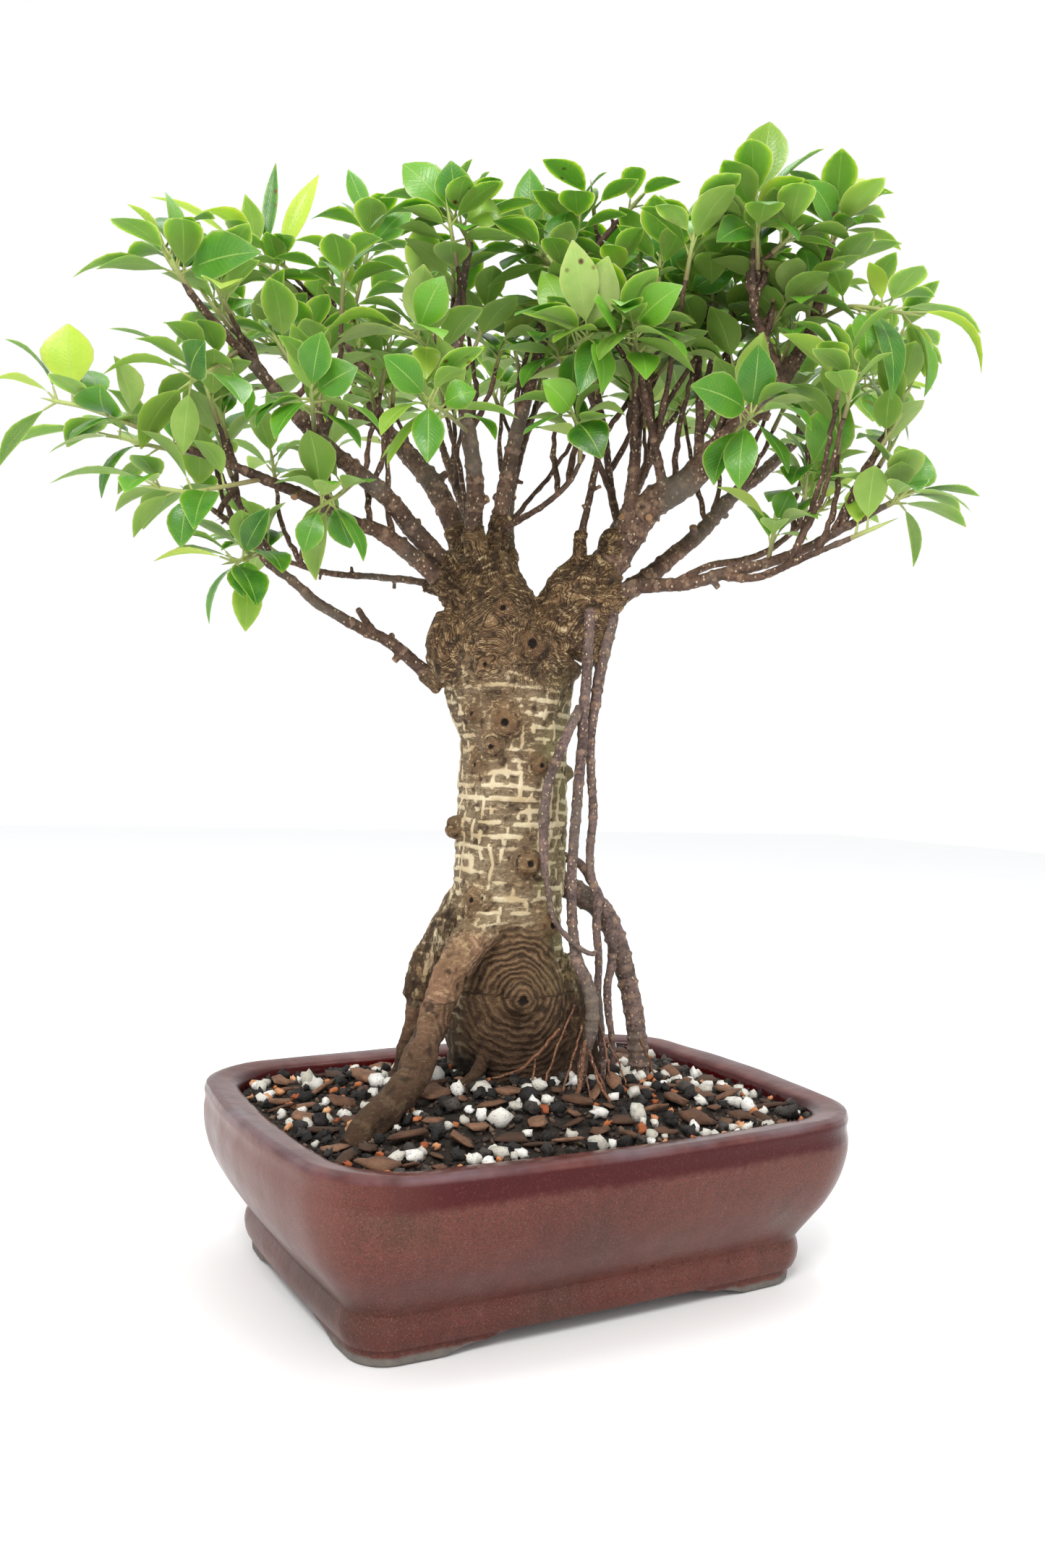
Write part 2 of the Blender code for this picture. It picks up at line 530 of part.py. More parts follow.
def tube(name, points, steps=1, fineness=1):
    """A closed tapering tube through (x, y, z, radius) points."""
    curve = bpy.data.curves.new(name, "CURVE")
    curve.dimensions = "3D"
    curve.bevel_depth = MM
    curve.bevel_resolution = fineness
    curve.use_fill_caps = True
    path = smooth_path(points, steps)
    spline = curve.splines.new("POLY")
    spline.points.add(len(path) - 1)
    for knot, (x, y, z, radius) in zip(spline.points, path):
        knot.co = (x * MM, y * MM, z * MM, 1)
        knot.radius = radius
    guide = bpy.data.objects.new(name, curve)
    bpy.context.scene.collection.objects.link(guide)
    mesh = evaluated_mesh(guide)
    bpy.data.objects.remove(guide, do_unlink=True)
    bm = bmesh.new()
    bm.from_mesh(mesh)
    bmesh.ops.remove_doubles(bm, verts=bm.verts, dist=0.0001 * MM)
    return mesh_from(bm, name)


def ball(centre, radius):
    bm = bmesh.new()
    bmesh.ops.create_icosphere(bm, subdivisions=2, radius=radius * MM,
                               matrix=Matrix.Translation(Vector(centre) * MM))
    return mesh_from(bm, "ball")


# --------------------------------------------------------------------------- pot and soil


def outline(inset, height, corner, bow):
    """One level of the pot: a rectangle with round corners and slightly bowed sides."""
    half_x = POT_LENGTH / 2 - inset
    half_y = POT_WIDTH / 2 - inset
    arc_steps = 4
    points = []
    for quarter, (side_x, side_y) in enumerate([(1, 1), (-1, 1), (-1, -1), (1, -1)]):
        centre = Vector((side_x * (half_x - corner), side_y * (half_y - corner)))
        for step in range(arc_steps + 1):
            angle = (quarter + step / arc_steps) * math.pi / 2
            points.append(centre + corner * Vector((math.cos(angle), math.sin(angle))))
        across = quarter % 2 == 0
        run = half_x - corner if across else half_y - corner
        side_steps = 4 if across else 3
        for step in range(1, side_steps):
            s = 1 - 2 * step / side_steps
            out = (half_y if across else half_x) + bow * (1 - s * s)
            points.append(Vector((side_x * s * run, side_y * out)) if across
                          else Vector((side_x * out, side_y * s * run)))
    return [Vector((point.x * MM, point.y * MM, height * MM)) for point in points]


def loft(rings, name):
    """Skin between level outlines, with both ends closed."""
    bm = bmesh.new()
    rows = [[bm.verts.new(point) for point in ring] for ring in rings]
    count = len(rows[0])
    for low, high in zip(rows, rows[1:]):
        for i in range(count):
            j = (i + 1) % count
            bm.faces.new((low[i], low[j], high[j], high[i]))
    bm.faces.new(rows[0])
    bm.faces.new(rows[-1])
    return mesh_from(bm, name)


def arch_cutter(name, half_span, turn):
    """The opening between two feet, right through the pot, with its cloud-shaped shoulders."""
    top = FOOT_HEIGHT + 0.3
    shoulder = [(38, -1), (33, 1.2), (25, 3.6), (19, 5), (13, 5.4), (6, 6.8), (0, top)]
    right = [(half_span + x, z) for x, z in shoulder]
    left = [(-x, z) for x, z in reversed(right)]
    curve = bpy.data.curves.new(name, "CURVE")
    curve.dimensions = "2D"
    curve.fill_mode = "BOTH"
    curve.extrude = POT_LENGTH * MM
    spline = curve.splines.new("POLY")
    spline.points.add(len(right + left) - 1)
    for knot, (x, z) in zip(spline.points, right + left):
        knot.co = (x * MM, z * MM, 0, 1)
    spline.use_cyclic_u = True
    guide = bpy.data.objects.new(name, curve)
    bpy.context.scene.collection.objects.link(guide)
    mesh = evaluated_mesh(guide)
    bpy.data.objects.remove(guide, do_unlink=True)
    bm = bmesh.new()
    bm.from_mesh(mesh)
    bmesh.ops.remove_doubles(bm, verts=bm.verts, dist=0.0001 * MM)
    stand_up = Matrix.Rotation(turn, 4, "Z") @ Matrix.Rotation(math.pi / 2, 4, "X")
    bmesh.ops.transform(bm, matrix=stand_up, verts=bm.verts)
    return mesh_from(bm, name)


def drain_cutter(x):
    bm = bmesh.new()
    bmesh.ops.create_cone(bm, cap_ends=True, segments=24, radius1=HOLE_RADIUS * MM,
                          radius2=HOLE_RADIUS * MM, depth=30 * MM,
                          matrix=Matrix.Translation((x * MM, 0, FLOOR_TOP * MM)))
    return mesh_from(bm, "drain")


def make_pot():
    shell = loft([outline(*level) for level in POT_SECTION], "pot_shell")
    cutters = [arch_cutter("long_arch", 52, 0), arch_cutter("short_arch", 22, math.pi / 2),
               drain_cutter(-HOLE_X), drain_cutter(HOLE_X)]
    return combined(shell, cutters, "DIFFERENCE", "pot")


def box(centre, size, name):
    bm = bmesh.new()
    place = Matrix.Translation(Vector(centre) * MM) @ Matrix.Diagonal((*(Vector(size) * MM), 1))
    bmesh.ops.create_cube(bm, size=1, matrix=place)
    return mesh_from(bm, name)


def screen_plate(x):
    """The plain square that a drain screen is cut from, centred over its hole."""
    height = FLOOR_TOP + GAP + SCREEN_THICKNESS / 2
    return box((x, 0, height), (SCREEN_SIDE, SCREEN_SIDE, SCREEN_THICKNESS), "plate")


def make_screen(x):
    """Square plastic mesh laid over a drain hole."""
    mesh_holes = 3
    pitch = 11
    opening = 8.5
    height = FLOOR_TOP + GAP + SCREEN_THICKNESS / 2
    first = -pitch * (mesh_holes - 1) / 2
    size = (opening, opening, 3 * SCREEN_THICKNESS)
    holes = [box((x + first + pitch * i, first + pitch * j, height), size, "hole")
             for i in range(mesh_holes) for j in range(mesh_holes)]
    return combined(screen_plate(x), [joined(holes, "holes")], "DIFFERENCE", "screen")


def make_soil(buried):
    """The filling of the pot: level with the lip's foot, mounded towards the trunk."""
    inside = [level for level in reversed(POT_SECTION) if level[1] <= SOIL_EDGE][:6]
    rings = [outline(inset + 0.5, max(height, FLOOR_TOP + GAP), corner, bow)
             for inset, height, corner, bow in inside]
    rings[0] = outline(inside[0][0] + 1.5, FLOOR_TOP + GAP, inside[0][2], inside[0][3])
    middle = Matrix.Rotation(TREE_TURN, 3, "Z") @ Vector((*SOIL_CENTRE, SOIL_CROWN)) * MM
    rim = rings[-1]
    for share, rise in [(0.86, 0.2), (0.66, 0.5), (0.44, 0.85), (0.22, 1)]:
        rings.append([Vector((middle.x + (point.x - middle.x) * share,
                              middle.y + (point.y - middle.y) * share,
                              point.z + (middle.z - point.z) * rise)) for point in rim])
    heap = loft(rings, "heap")
    return combined(heap, buried, "DIFFERENCE", "soil", "MANIFOLD")


# --------------------------------------------------------------------------- wood


def make_trunk():
    """Stem, roots, lobes, knots and limb collars, grown together by one voxel skin."""
    pieces = [tube("chain", chain, steps=2, fineness=3) for chain in TRUNK_CHAINS]
    pieces += [ball((x, y, z), radius) for x, y, z, radius in KNOTS]
    for limb, *_ in BRANCHES.values():
        collar = [(x, y, z, radius + 1.2) for x, y, z, radius in limb[:2]]
        pieces.append(tube("collar", collar, fineness=2))
    work = bpy.data.objects.new("trunk_work", joined(pieces, "trunk_work"))
    bpy.context.scene.collection.objects.link(work)
    skin = work.modifiers.new("Grow together", "REMESH")
    skin.mode = "VOXEL"
    skin.voxel_size = 3.2 * MM
    ease = work.modifiers.new("Ease", "SMOOTH")
    ease.factor = 0.5
    ease.iterations = 3
    thin = work.modifiers.new("Thin", "DECIMATE")
    thin.ratio = TRUNK_DETAIL
    mesh = evaluated_mesh(work)
    bpy.data.objects.remove(work, do_unlink=True)
    return mesh


def touching(mesh, others):
    """Those of the others whose boxes meet the mesh's box."""
    low, high = bounds(mesh)
    near = []
    for other in others:
        other_low, other_high = bounds(other)
        if all(other_low[k] <= high[k] and other_high[k] >= low[k] for k in range(3)):
            near.append(other)
    return near


def bounds(mesh):
    corners = [vert.co for vert in mesh.vertices]
    return ([min(corner[k] for corner in corners) for k in range(3)],
            [max(corner[k] for corner in corners) for k in range(3)])


def trimmed(mesh, cutters, name):
    """The mesh cut back to a clearance from each cutter; EXACT fails on tubes as thin as these."""
    wider = [grown(cutter, TRIM_GAP) for cutter in cutters]
    return combined(mesh, wider, "DIFFERENCE", name, "MANIFOLD")


def make_wood(name, limbs, earlier):
    """A limb with its forks as one solid, trimmed where it leaves older wood."""
    main, *forks = [tube(name, limb, fineness=1) for limb in limbs]
    if forks:
        main = combined(main, forks, "UNION", name, "MANIFOLD")
    cutters = touching(main, earlier)
    return largest_body(trimmed(main, cutters, name))


# --------------------------------------------------------------------------- leaves

# (share of the length, half width, thickness share, fold) by the sphere's level
LEAF_LEVELS = {
    1: (0, 0, 0),
    0.707: (PETIOLE_SHARE, 0.055, 0.9),
    0: (0.5, 0.5, 1),
    -0.707: (0.8, 0.32, 0.8),
    -1: (1, 0, 0),
}


def leaf_mesh(base, tip, width, lift, facing):
    """A folded, arched blade on its stalk, from a four-sided ball."""
    axis = (tip - base).normalized()
    normal = (facing - axis * facing.dot(axis)).normalized()
    side = axis.cross(normal)
    crown = (base + tip) / 2 + normal * lift * 2
    bm = bmesh.new()
    bmesh.ops.create_uvsphere(bm, u_segments=4, v_segments=4, radius=1)
    for vert in bm.verts:
        level = min(LEAF_LEVELS, key=lambda z: abs(z - vert.co.z))
        share, half, thick = LEAF_LEVELS[level]
        spine = base * (1 - share) ** 2 + crown * 2 * share * (1 - share) + tip * share ** 2
        ring = math.hypot(vert.co.x, vert.co.y) or 1
        across = vert.co.x / ring * half * width
        through = vert.co.y / ring * thick * BLADE_THICKNESS / 2
        fold = 0.3 * abs(across)
        if level in (1, -1):
            across = through = fold = 0
        vert.co = (spine + side * across + normal * (through + fold)) * MM
    return mesh_from(bm, "leaf")


def stem_point(stem, share):
    """Place and direction on a stem's polyline, by share of its length."""
    rows = [Vector(point[:3]) for point in stem]
    lengths = [(b - a).length for a, b in zip(rows, rows[1:])]
    left = share * sum(lengths)
    for a, b, length in zip(rows, rows[1:], lengths):
        if left <= length or b is rows[-1]:
            return a.lerp(b, min(left / length, 1)), (b - a).normalized()
        left -= length


def filler_leaves(stem, count, phase):
    """Leaves set round a stem by the golden angle, spreading and a little drooping."""
    leaves = []
    for k in range(count):
        share = 0.05 + 0.95 * k / max(count - 1, 1)
        start, along = stem_point(stem, BARE_STEM + (1 - BARE_STEM) * share)
        around = along.orthogonal().normalized()
        around.rotate(Matrix.Rotation(phase + k * GOLDEN_ANGLE, 3, along))
        reach = (around + along * 0.55 + UP * 0.25).normalized()
        length = 36 + 6 * math.sin(phase * 3 + k * 1.7)
        leaves.append((share, start + reach * length - UP * 4, 0.46 * length, 5, UP))
    return leaves


def clear(candidate, obstacles):
    """True where a leaf, with its clearance, meets none of the obstacles."""
    bm = bmesh.new()
    bm.from_mesh(grown(candidate))
    tree = BVHTree.FromBMesh(bm)
    bm.free()
    low, high = bounds(candidate)
    for (other_low, other_high), other in obstacles:
        if all(other_low[k] - MM <= high[k] and other_high[k] + MM >= low[k] for k in range(3)):
            if tree.overlap(other):
                return False
    return True


def obstacle(mesh):
    bm = bmesh.new()
    bm.from_mesh(mesh)
    tree = BVHTree.FromBMesh(bm)
    bm.free()
    return bounds(mesh), tree


def place_leaf(stem, share, tip, width, lift, facing, obstacles):
    """The leaf, swung aside in steps until it is clear of everything; None if there is no room."""
    base, along = stem_point(stem, BARE_STEM + (1 - BARE_STEM) * share)
    base = base - along * 0.4 + (tip - base).normalized() * 0.3
    reach = tip - base
    for swing in SWINGS:
        for tip_up in TIPS_UP:
            turned = reach.copy()
            turned.rotate(Matrix.Rotation(math.radians(swing), 3, "Z"))
            turned.rotate(Matrix.Rotation(math.radians(tip_up), 3, turned.cross(UP)))
            leaf = leaf_mesh(base, base + turned, width, lift, facing)
            if clear(leaf, obstacles):
                return leaf
    return None


def make_stem(name, stem, wood):
    """The green stem of a shoot, trimmed where it leaves its branch."""
    last = len(stem) - 1
    thick = [(*point, 1.25 - 0.3 * k / last) for k, point in enumerate(stem)]
    stalk = tube(name, thick, fineness=1)
    return largest_body(trimmed(stalk, touching(stalk, wood), name))


def make_shoot(name, stalk, leaf_plan, obstacles):
    """A stem with all its leaves as one solid."""
    stem, set_leaves, filler_count, phase = leaf_plan
    wanted = [(share, Vector(tip), *shape) for share, tip, *shape in set_leaves]
    wanted += filler_leaves(stem, filler_count, phase)
    leaves = []
    for leaf_spec in wanted:
        leaf = place_leaf(stem, *leaf_spec, obstacles)
        if leaf:
            leaves.append(leaf)
            obstacles.append(obstacle(leaf))
    return combined(stalk, leaves, "UNION", name, "MANIFOLD")


# --------------------------------------------------------------------------- assembly


def main():
    clear_scene()
    parts = new_collection("bonsai_tree_in_a_pot")
    pot_frame = new_object("pot_frame", None, parts)
    pot_frame.location = Vector(ORIGIN_SHIFT) * MM
    tree_frame = new_object("tree_frame", None, parts, pot_frame)
    tree_frame.rotation_euler.z = TREE_TURN
    turn = Matrix.Rotation(TREE_TURN, 4, "Z")

    trunk = make_trunk()
    roots = {}
    for name, path in AERIAL_ROOTS.items():
        earlier = [trunk, *roots.values()]
        roots[name] = make_wood(name, [path], earlier)
    limbs = {}
    for name, shapes in BRANCHES.items():
        limbs[name] = make_wood(name, shapes, [trunk, *roots.values(), *limbs.values()])

    screens = {"drain_screen_left": make_screen(-HOLE_X), "drain_screen_right": make_screen(HOLE_X)}
    buried = [moved(grown(piece, TRIM_GAP), turn) for piece in [trunk, *roots.values()]]
    buried += [grown(screen_plate(x)) for x in (-HOLE_X, HOLE_X)]
    new_object("pot", make_pot(), parts, pot_frame, "glaze")
    for name, mesh in screens.items():
        new_object(name, mesh, parts, pot_frame, "screen")
    new_object("soil_bed", make_soil(buried), parts, pot_frame, "soil")

    new_object("trunk", trunk, parts, tree_frame, "bark")
    for name, mesh in roots.items():
        new_object(name, mesh, parts, tree_frame, "root_bark")
    for name, mesh in limbs.items():
        new_object(name, mesh, parts, tree_frame, "twig_bark")

    wood = [trunk, *roots.values(), *limbs.values()]
    stems = {name: make_stem(name, plan[0], wood) for name, plan in SHOOTS.items()}
    stem_obstacles = {name: obstacle(stem) for name, stem in stems.items()}
    fixed = [obstacle(piece) for piece in wood]
    leaves = []
    for number, (name, plan) in enumerate(SHOOTS.items()):
        others = [blocked for other, blocked in stem_obstacles.items() if other != name]
        obstacles = fixed + others + leaves
        known = len(obstacles)
        mesh = make_shoot(name, stems[name], (*plan, number * 0.9), obstacles)
        leaves += obstacles[known:]
        new_object(name, mesh, parts, tree_frame, "leaf")
    for obj in parts.objects:
        if obj.type == "MESH":
            obj.data.shade_smooth()
            obj.data.set_sharp_from_angle(angle=math.radians(45))


main()
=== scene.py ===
"""Fig bonsai in a glazed pot: the finished looks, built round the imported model.

It is laid out as an add-on and run as a script.  The tree is drawn in its own frame, in millimetres: x runs
along its broad front, y from front to back, z is the height above the table.  TREE_PLACE carries that frame
into the pot.
"""

import json
import math
import random
import bmesh
import bpy
import numpy as np
from bpy.props import FloatProperty, FloatVectorProperty, IntProperty, PointerProperty
from mathutils import Euler, Matrix, Vector, noise
from mathutils.bvhtree import BVHTree

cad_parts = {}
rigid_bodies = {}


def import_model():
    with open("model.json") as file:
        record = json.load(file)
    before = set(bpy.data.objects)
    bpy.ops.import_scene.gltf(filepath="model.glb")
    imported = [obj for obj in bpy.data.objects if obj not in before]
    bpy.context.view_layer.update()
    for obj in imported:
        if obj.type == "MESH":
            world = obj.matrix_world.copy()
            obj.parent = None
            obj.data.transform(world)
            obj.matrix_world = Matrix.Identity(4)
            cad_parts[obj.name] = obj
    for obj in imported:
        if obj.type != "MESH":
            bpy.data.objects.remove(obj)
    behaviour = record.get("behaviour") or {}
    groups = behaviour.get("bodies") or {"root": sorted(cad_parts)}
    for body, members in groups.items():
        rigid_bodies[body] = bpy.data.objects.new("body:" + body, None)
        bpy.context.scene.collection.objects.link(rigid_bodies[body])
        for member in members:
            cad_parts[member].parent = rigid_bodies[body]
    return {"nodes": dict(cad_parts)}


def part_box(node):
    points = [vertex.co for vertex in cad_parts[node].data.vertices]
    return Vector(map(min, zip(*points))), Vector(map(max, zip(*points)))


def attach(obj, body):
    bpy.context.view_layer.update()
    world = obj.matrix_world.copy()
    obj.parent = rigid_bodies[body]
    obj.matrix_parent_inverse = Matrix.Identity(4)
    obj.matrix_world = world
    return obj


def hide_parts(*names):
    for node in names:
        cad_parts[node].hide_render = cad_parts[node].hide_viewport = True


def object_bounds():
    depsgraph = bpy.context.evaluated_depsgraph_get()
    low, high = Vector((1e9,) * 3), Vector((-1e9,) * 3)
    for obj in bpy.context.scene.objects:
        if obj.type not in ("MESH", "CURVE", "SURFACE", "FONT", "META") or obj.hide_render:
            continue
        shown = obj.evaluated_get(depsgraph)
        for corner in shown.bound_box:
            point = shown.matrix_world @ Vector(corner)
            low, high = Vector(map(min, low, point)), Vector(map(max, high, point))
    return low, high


bl_info = {
    "name": "Fig Bonsai",
    "version": (1, 0, 0),
    "blender": (4, 5, 0),
    "location": "3D View > Sidebar > Bonsai",
    "description": "Builds a fig bonsai in a glazed pot, piece by piece",
    "category": "Add Mesh",
}

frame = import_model()
CAD_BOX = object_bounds()

MM = 0.001
POT_LOW, POT_HIGH = (Vector(corner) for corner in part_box("pot"))
POT_MIDDLE = Vector(((POT_LOW.x + POT_HIGH.x) / 2, (POT_LOW.y + POT_HIGH.y) / 2, 0))
TREE_TURN = math.radians(-29)
POT_PLACE = Matrix.Translation(POT_MIDDLE) @ Matrix.Scale(MM, 4)
TREE_PLACE = POT_PLACE @ Matrix.Rotation(TREE_TURN, 4, "Z")
UP = Vector((0, 0, 1))
FRONT = Vector((0, -1, 0.15))
GOLDEN_ANGLE = math.radians(137.5)

# --------------------------------------------------------------------------- the tree's layout, mm

POT_LENGTH = 305
POT_WIDTH = 225
POT_HEIGHT = 92.5
RIM_CORNER = 46
LIP_WIDTH = 17
FLOOR_UNDER = 10
FLOOR_TOP = 18
FOOT_HEIGHT = 8
HOLE_RADIUS = 14
HOLE_X = 62
SOIL_EDGE = 85
SOIL_CROWN = 98
SOIL_CENTRE = (-2, 14)
PETIOLE_SHARE = 0.18
BLADE_HALF_THICKNESS = 0.22
BARE_STEM = 0.38                # share of a shoot's stem, from its foot, that bears no leaves
STALK_RADIUS = 0.75
BUD_RADIUS = 1.15
TRUNK_AXIS = (-12, 23)
TRUNK_RADIUS = 30
COLLAR_SWELL = 1.2              # how much thicker the trunk's collars are than the branches' feet
CANOPY_FOOT = 478               # where the leaves begin above the trunk, and the highest that sprigs reach
CANOPY_TOP = 588
CANOPY_MARGIN = 0.006           # m

# (inset from the rim's outline, height, corner radius, side bow) from the foot's inside edge, over the
# outside and the lip, and down the inside to the floor
POT_SECTION = [
    (42, FLOOR_UNDER, 12, 1), (41, 0, 13, 1), (29.5, 0, 18, 2), (28, 1.5, 19, 2), (27.5, FOOT_HEIGHT, 19, 2),
    (25.6, FOOT_HEIGHT + 1, 20, 2), (24.3, 13, 20.5, 2), (23.8, 17.5, 21, 2), (24.2, 21, 21, 2),
    (25.3, 24, 20, 2), (23, 28, 22, 2.5), (17.2, 36, 27, 3), (10.3, 46, 33, 3.5), (5, 57, 38, 4),
    (1.6, 68, 42, 4.5), (0.3, 77, 44, 5), (0.7, 84, 45, 5), (0, 88.5, RIM_CORNER, 5),
    (1, 91.5, 45.5, 5), (3.5, POT_HEIGHT, 44, 5), (13.5, 91, 37, 4), (LIP_WIDTH - 0.5, 89, 35, 4),
    (LIP_WIDTH + 0.5, SOIL_EDGE, 34, 4), (18.5, 70, 32, 3), (22, 46, 26, 2), (30, 27, 20, 1),
    (36, FLOOR_TOP + 1, 16, 1), (39, FLOOR_TOP, 14, 1),
]
WALL_START = 5
FLOOR_START = 25

# Trunk: chains of (x, y, z, radius) that grow together into one piece of wood
TRUNK_CHAINS = [
    # main stem, from under the soil to the crotch
    [(-2, 26, 80, 31), (-4, 26, 95, 34), (-8, 24, 115, 36), (-12, 24, 135, 35), (-13, 23, 155, 33),
     (-13, 23, 180, 30.5), (-12, 23, 215, 30), (-12, 23, 250, 30), (-13, 23, 280, 30), (-15, 23, 300, 34),
     (-16, 23, 320, 38), (-10, 23, 338, 38), (-4, 23, 346, 30)],
    # left and right lobes of the crotch
    [(-20, 22, 330, 26), (-27, 22, 352, 24), (-31, 22, 369, 18), (-33, 22, 381, 12)],
    [(10, 24, 330, 26), (18, 24, 352, 22), (23, 24, 369, 16), (27, 23, 380, 11)],
    # healed lump on the left shoulder
    [(-46, 17, 313, 12), (-50, 15, 325, 13), (-51, 14, 338, 11), (-52, 14, 347, 6)],
    # great front root, sweeping down to the left
    [(-18, 4, 184, 12), (-30, -10, 173, 11), (-40, -23, 158, 9.5), (-45, -31, 143, 8.5),
     (-49, -38, 130, 8.2),
     (-53, -46, 118, 8.6), (-58, -57, 107, 8.6), (-66, -67, 98, 8.4), (-75, -76, 91, 8), (-83, -85, 83, 6)],
    # grey buttress on the left with its thin tail
    [(-33, 20, 196, 9), (-43, 16, 181, 9), (-52, 12, 164, 8.5), (-58, 10, 150, 8.2), (-60, 8, 138, 7.4)],
    [(-44, 16, 150, 12), (-50, 13, 130, 7)],
    [(-58, 9, 146, 5), (-61, 7, 133, 4.6), (-64, 5, 118, 3.6), (-67, 4, 106, 3.2), (-70, 2, 86, 3)],
    # small forked root at the front
    [(-20, 6, 126, 6), (-21, -3, 113, 4.6), (-25, -12, 104, 3.8), (-31, -21, 97, 3.4), (-34, -26, 84, 3.2)],
    # swollen boss with the great swirl, low at the front
    [(-4, 14, 150, 23), (-3, 10, 135, 24), (-2, 14, 120, 25)],
    # right hand buttress
    [(12, 24, 160, 14), (19, 22, 135, 15), (24, 22, 112, 16), (27, 22, 84, 17)],
]
# The chains, by their order above, that are roots, and those that are grey buttresses
GREAT_ROOT = 4
FORKED_ROOT = 8
ROOT_CHAINS = (GREAT_ROOT, 7, FORKED_ROOT)
BUTTRESS_CHAINS = (5, 6, 10)
# Healed pruning knots: place and radius, and the one whose rings cover the swollen foot
KNOTS = [
    (-43, 12, 231, 6.5), (-3, -6, 214, 8), (-29, 0, 193, 6.5), (9, 3, 181, 7.5), (-4, -14, 144, 9),
    (-20, -13, 347, 7), (-6, -14, 329, 9), (-28, -9, 318, 5), (-34, -2, 292, 5), (-17, -7, 288, 8),
    (-23, -5, 275, 6), (-31, 2, 265, 5), (1, -5, 266, 6), (18, 24, 262, 5), (38, 15, 388, 9),
]
BOSS = 4

# Roots that hang free beside the trunk: (x, y, z, radius)
AERIAL_ROOTS = {
    "aerial_root_front": [
        (22, 0, 298, 2.7), (17, -6, 287, 2.7), (12, -10, 274, 2.7), (7, -11, 260, 2.6), (5, -11, 244, 2.6),
        (5, -11, 228, 2.5), (6, -11, 212, 2.1), (8, -11, 203, 1.6), (10, -11, 192, 1.5), (13, -12, 184, 1.5),
        (19, -12, 177, 1.5), (26, -12, 171, 1.5), (33, -12, 168, 1.5), (36, -12, 170, 1.5)],
    "aerial_root_long": [
        (23, 16, 356, 4.2), (25, 6, 348, 3.4), (25, 4, 332, 3), (25, 4, 314, 3), (24, 3, 295, 2.9),
        (24, 2, 277, 2.9), (23, 1, 260, 2.8), (22, 0, 240, 2.8), (21, -1, 209, 2.8), (22, -4, 185, 2.8),
        (25, -8, 165, 3.2), (31, -10, 152, 3.6), (34, -10, 140, 3.7), (34, -9, 126, 3.4), (31, -8, 112, 2.7),
        (30, -7, 100, 2.4), (29, -6, 84, 2.4)],
    "aerial_root_back": [
        (34, 20, 357, 4.2), (38, 15, 348, 3.6), (36, 14, 336, 3.4), (33, 13, 320, 3.2), (31, 13, 303, 3),
        (29, 13, 283, 2.6), (30, 13, 262, 2.4), (32, 13, 242, 2.4), (31, 13, 222, 2.3), (32, 12, 208, 2.3),
        (36, 11, 194, 2.3), (36, 10, 180, 2.3), (38, 10, 162, 2.2), (38, 9, 146, 2.1), (40, 9, 128, 2.2),
        (42, 9, 112, 2), (43, 10, 96, 1.6), (43, 10, 84, 1.6)],
    "aerial_root_outer": [
        (16, 34, 216, 3), (27, 27, 212, 2.5), (34, 24, 202, 2.5), (40, 22, 190, 2.5), (45, 20, 176, 2.5),
        (46, 20, 160, 2.5), (44, 19, 146, 2.4), (45, 18, 132, 2.2), (48, 18, 114, 1.8), (49, 18, 84, 1.8)],
    "aerial_root_prop": [
        (12, 40, 203, 7), (28, 42, 194, 6.6), (42, 44, 184, 6.2), (51, 45, 166, 6), (56, 45, 150, 5.8),
        (60, 45, 135, 5.6), (63, 44, 120, 5.6), (65, 43, 104, 5.8), (66, 42, 84, 6)],
}

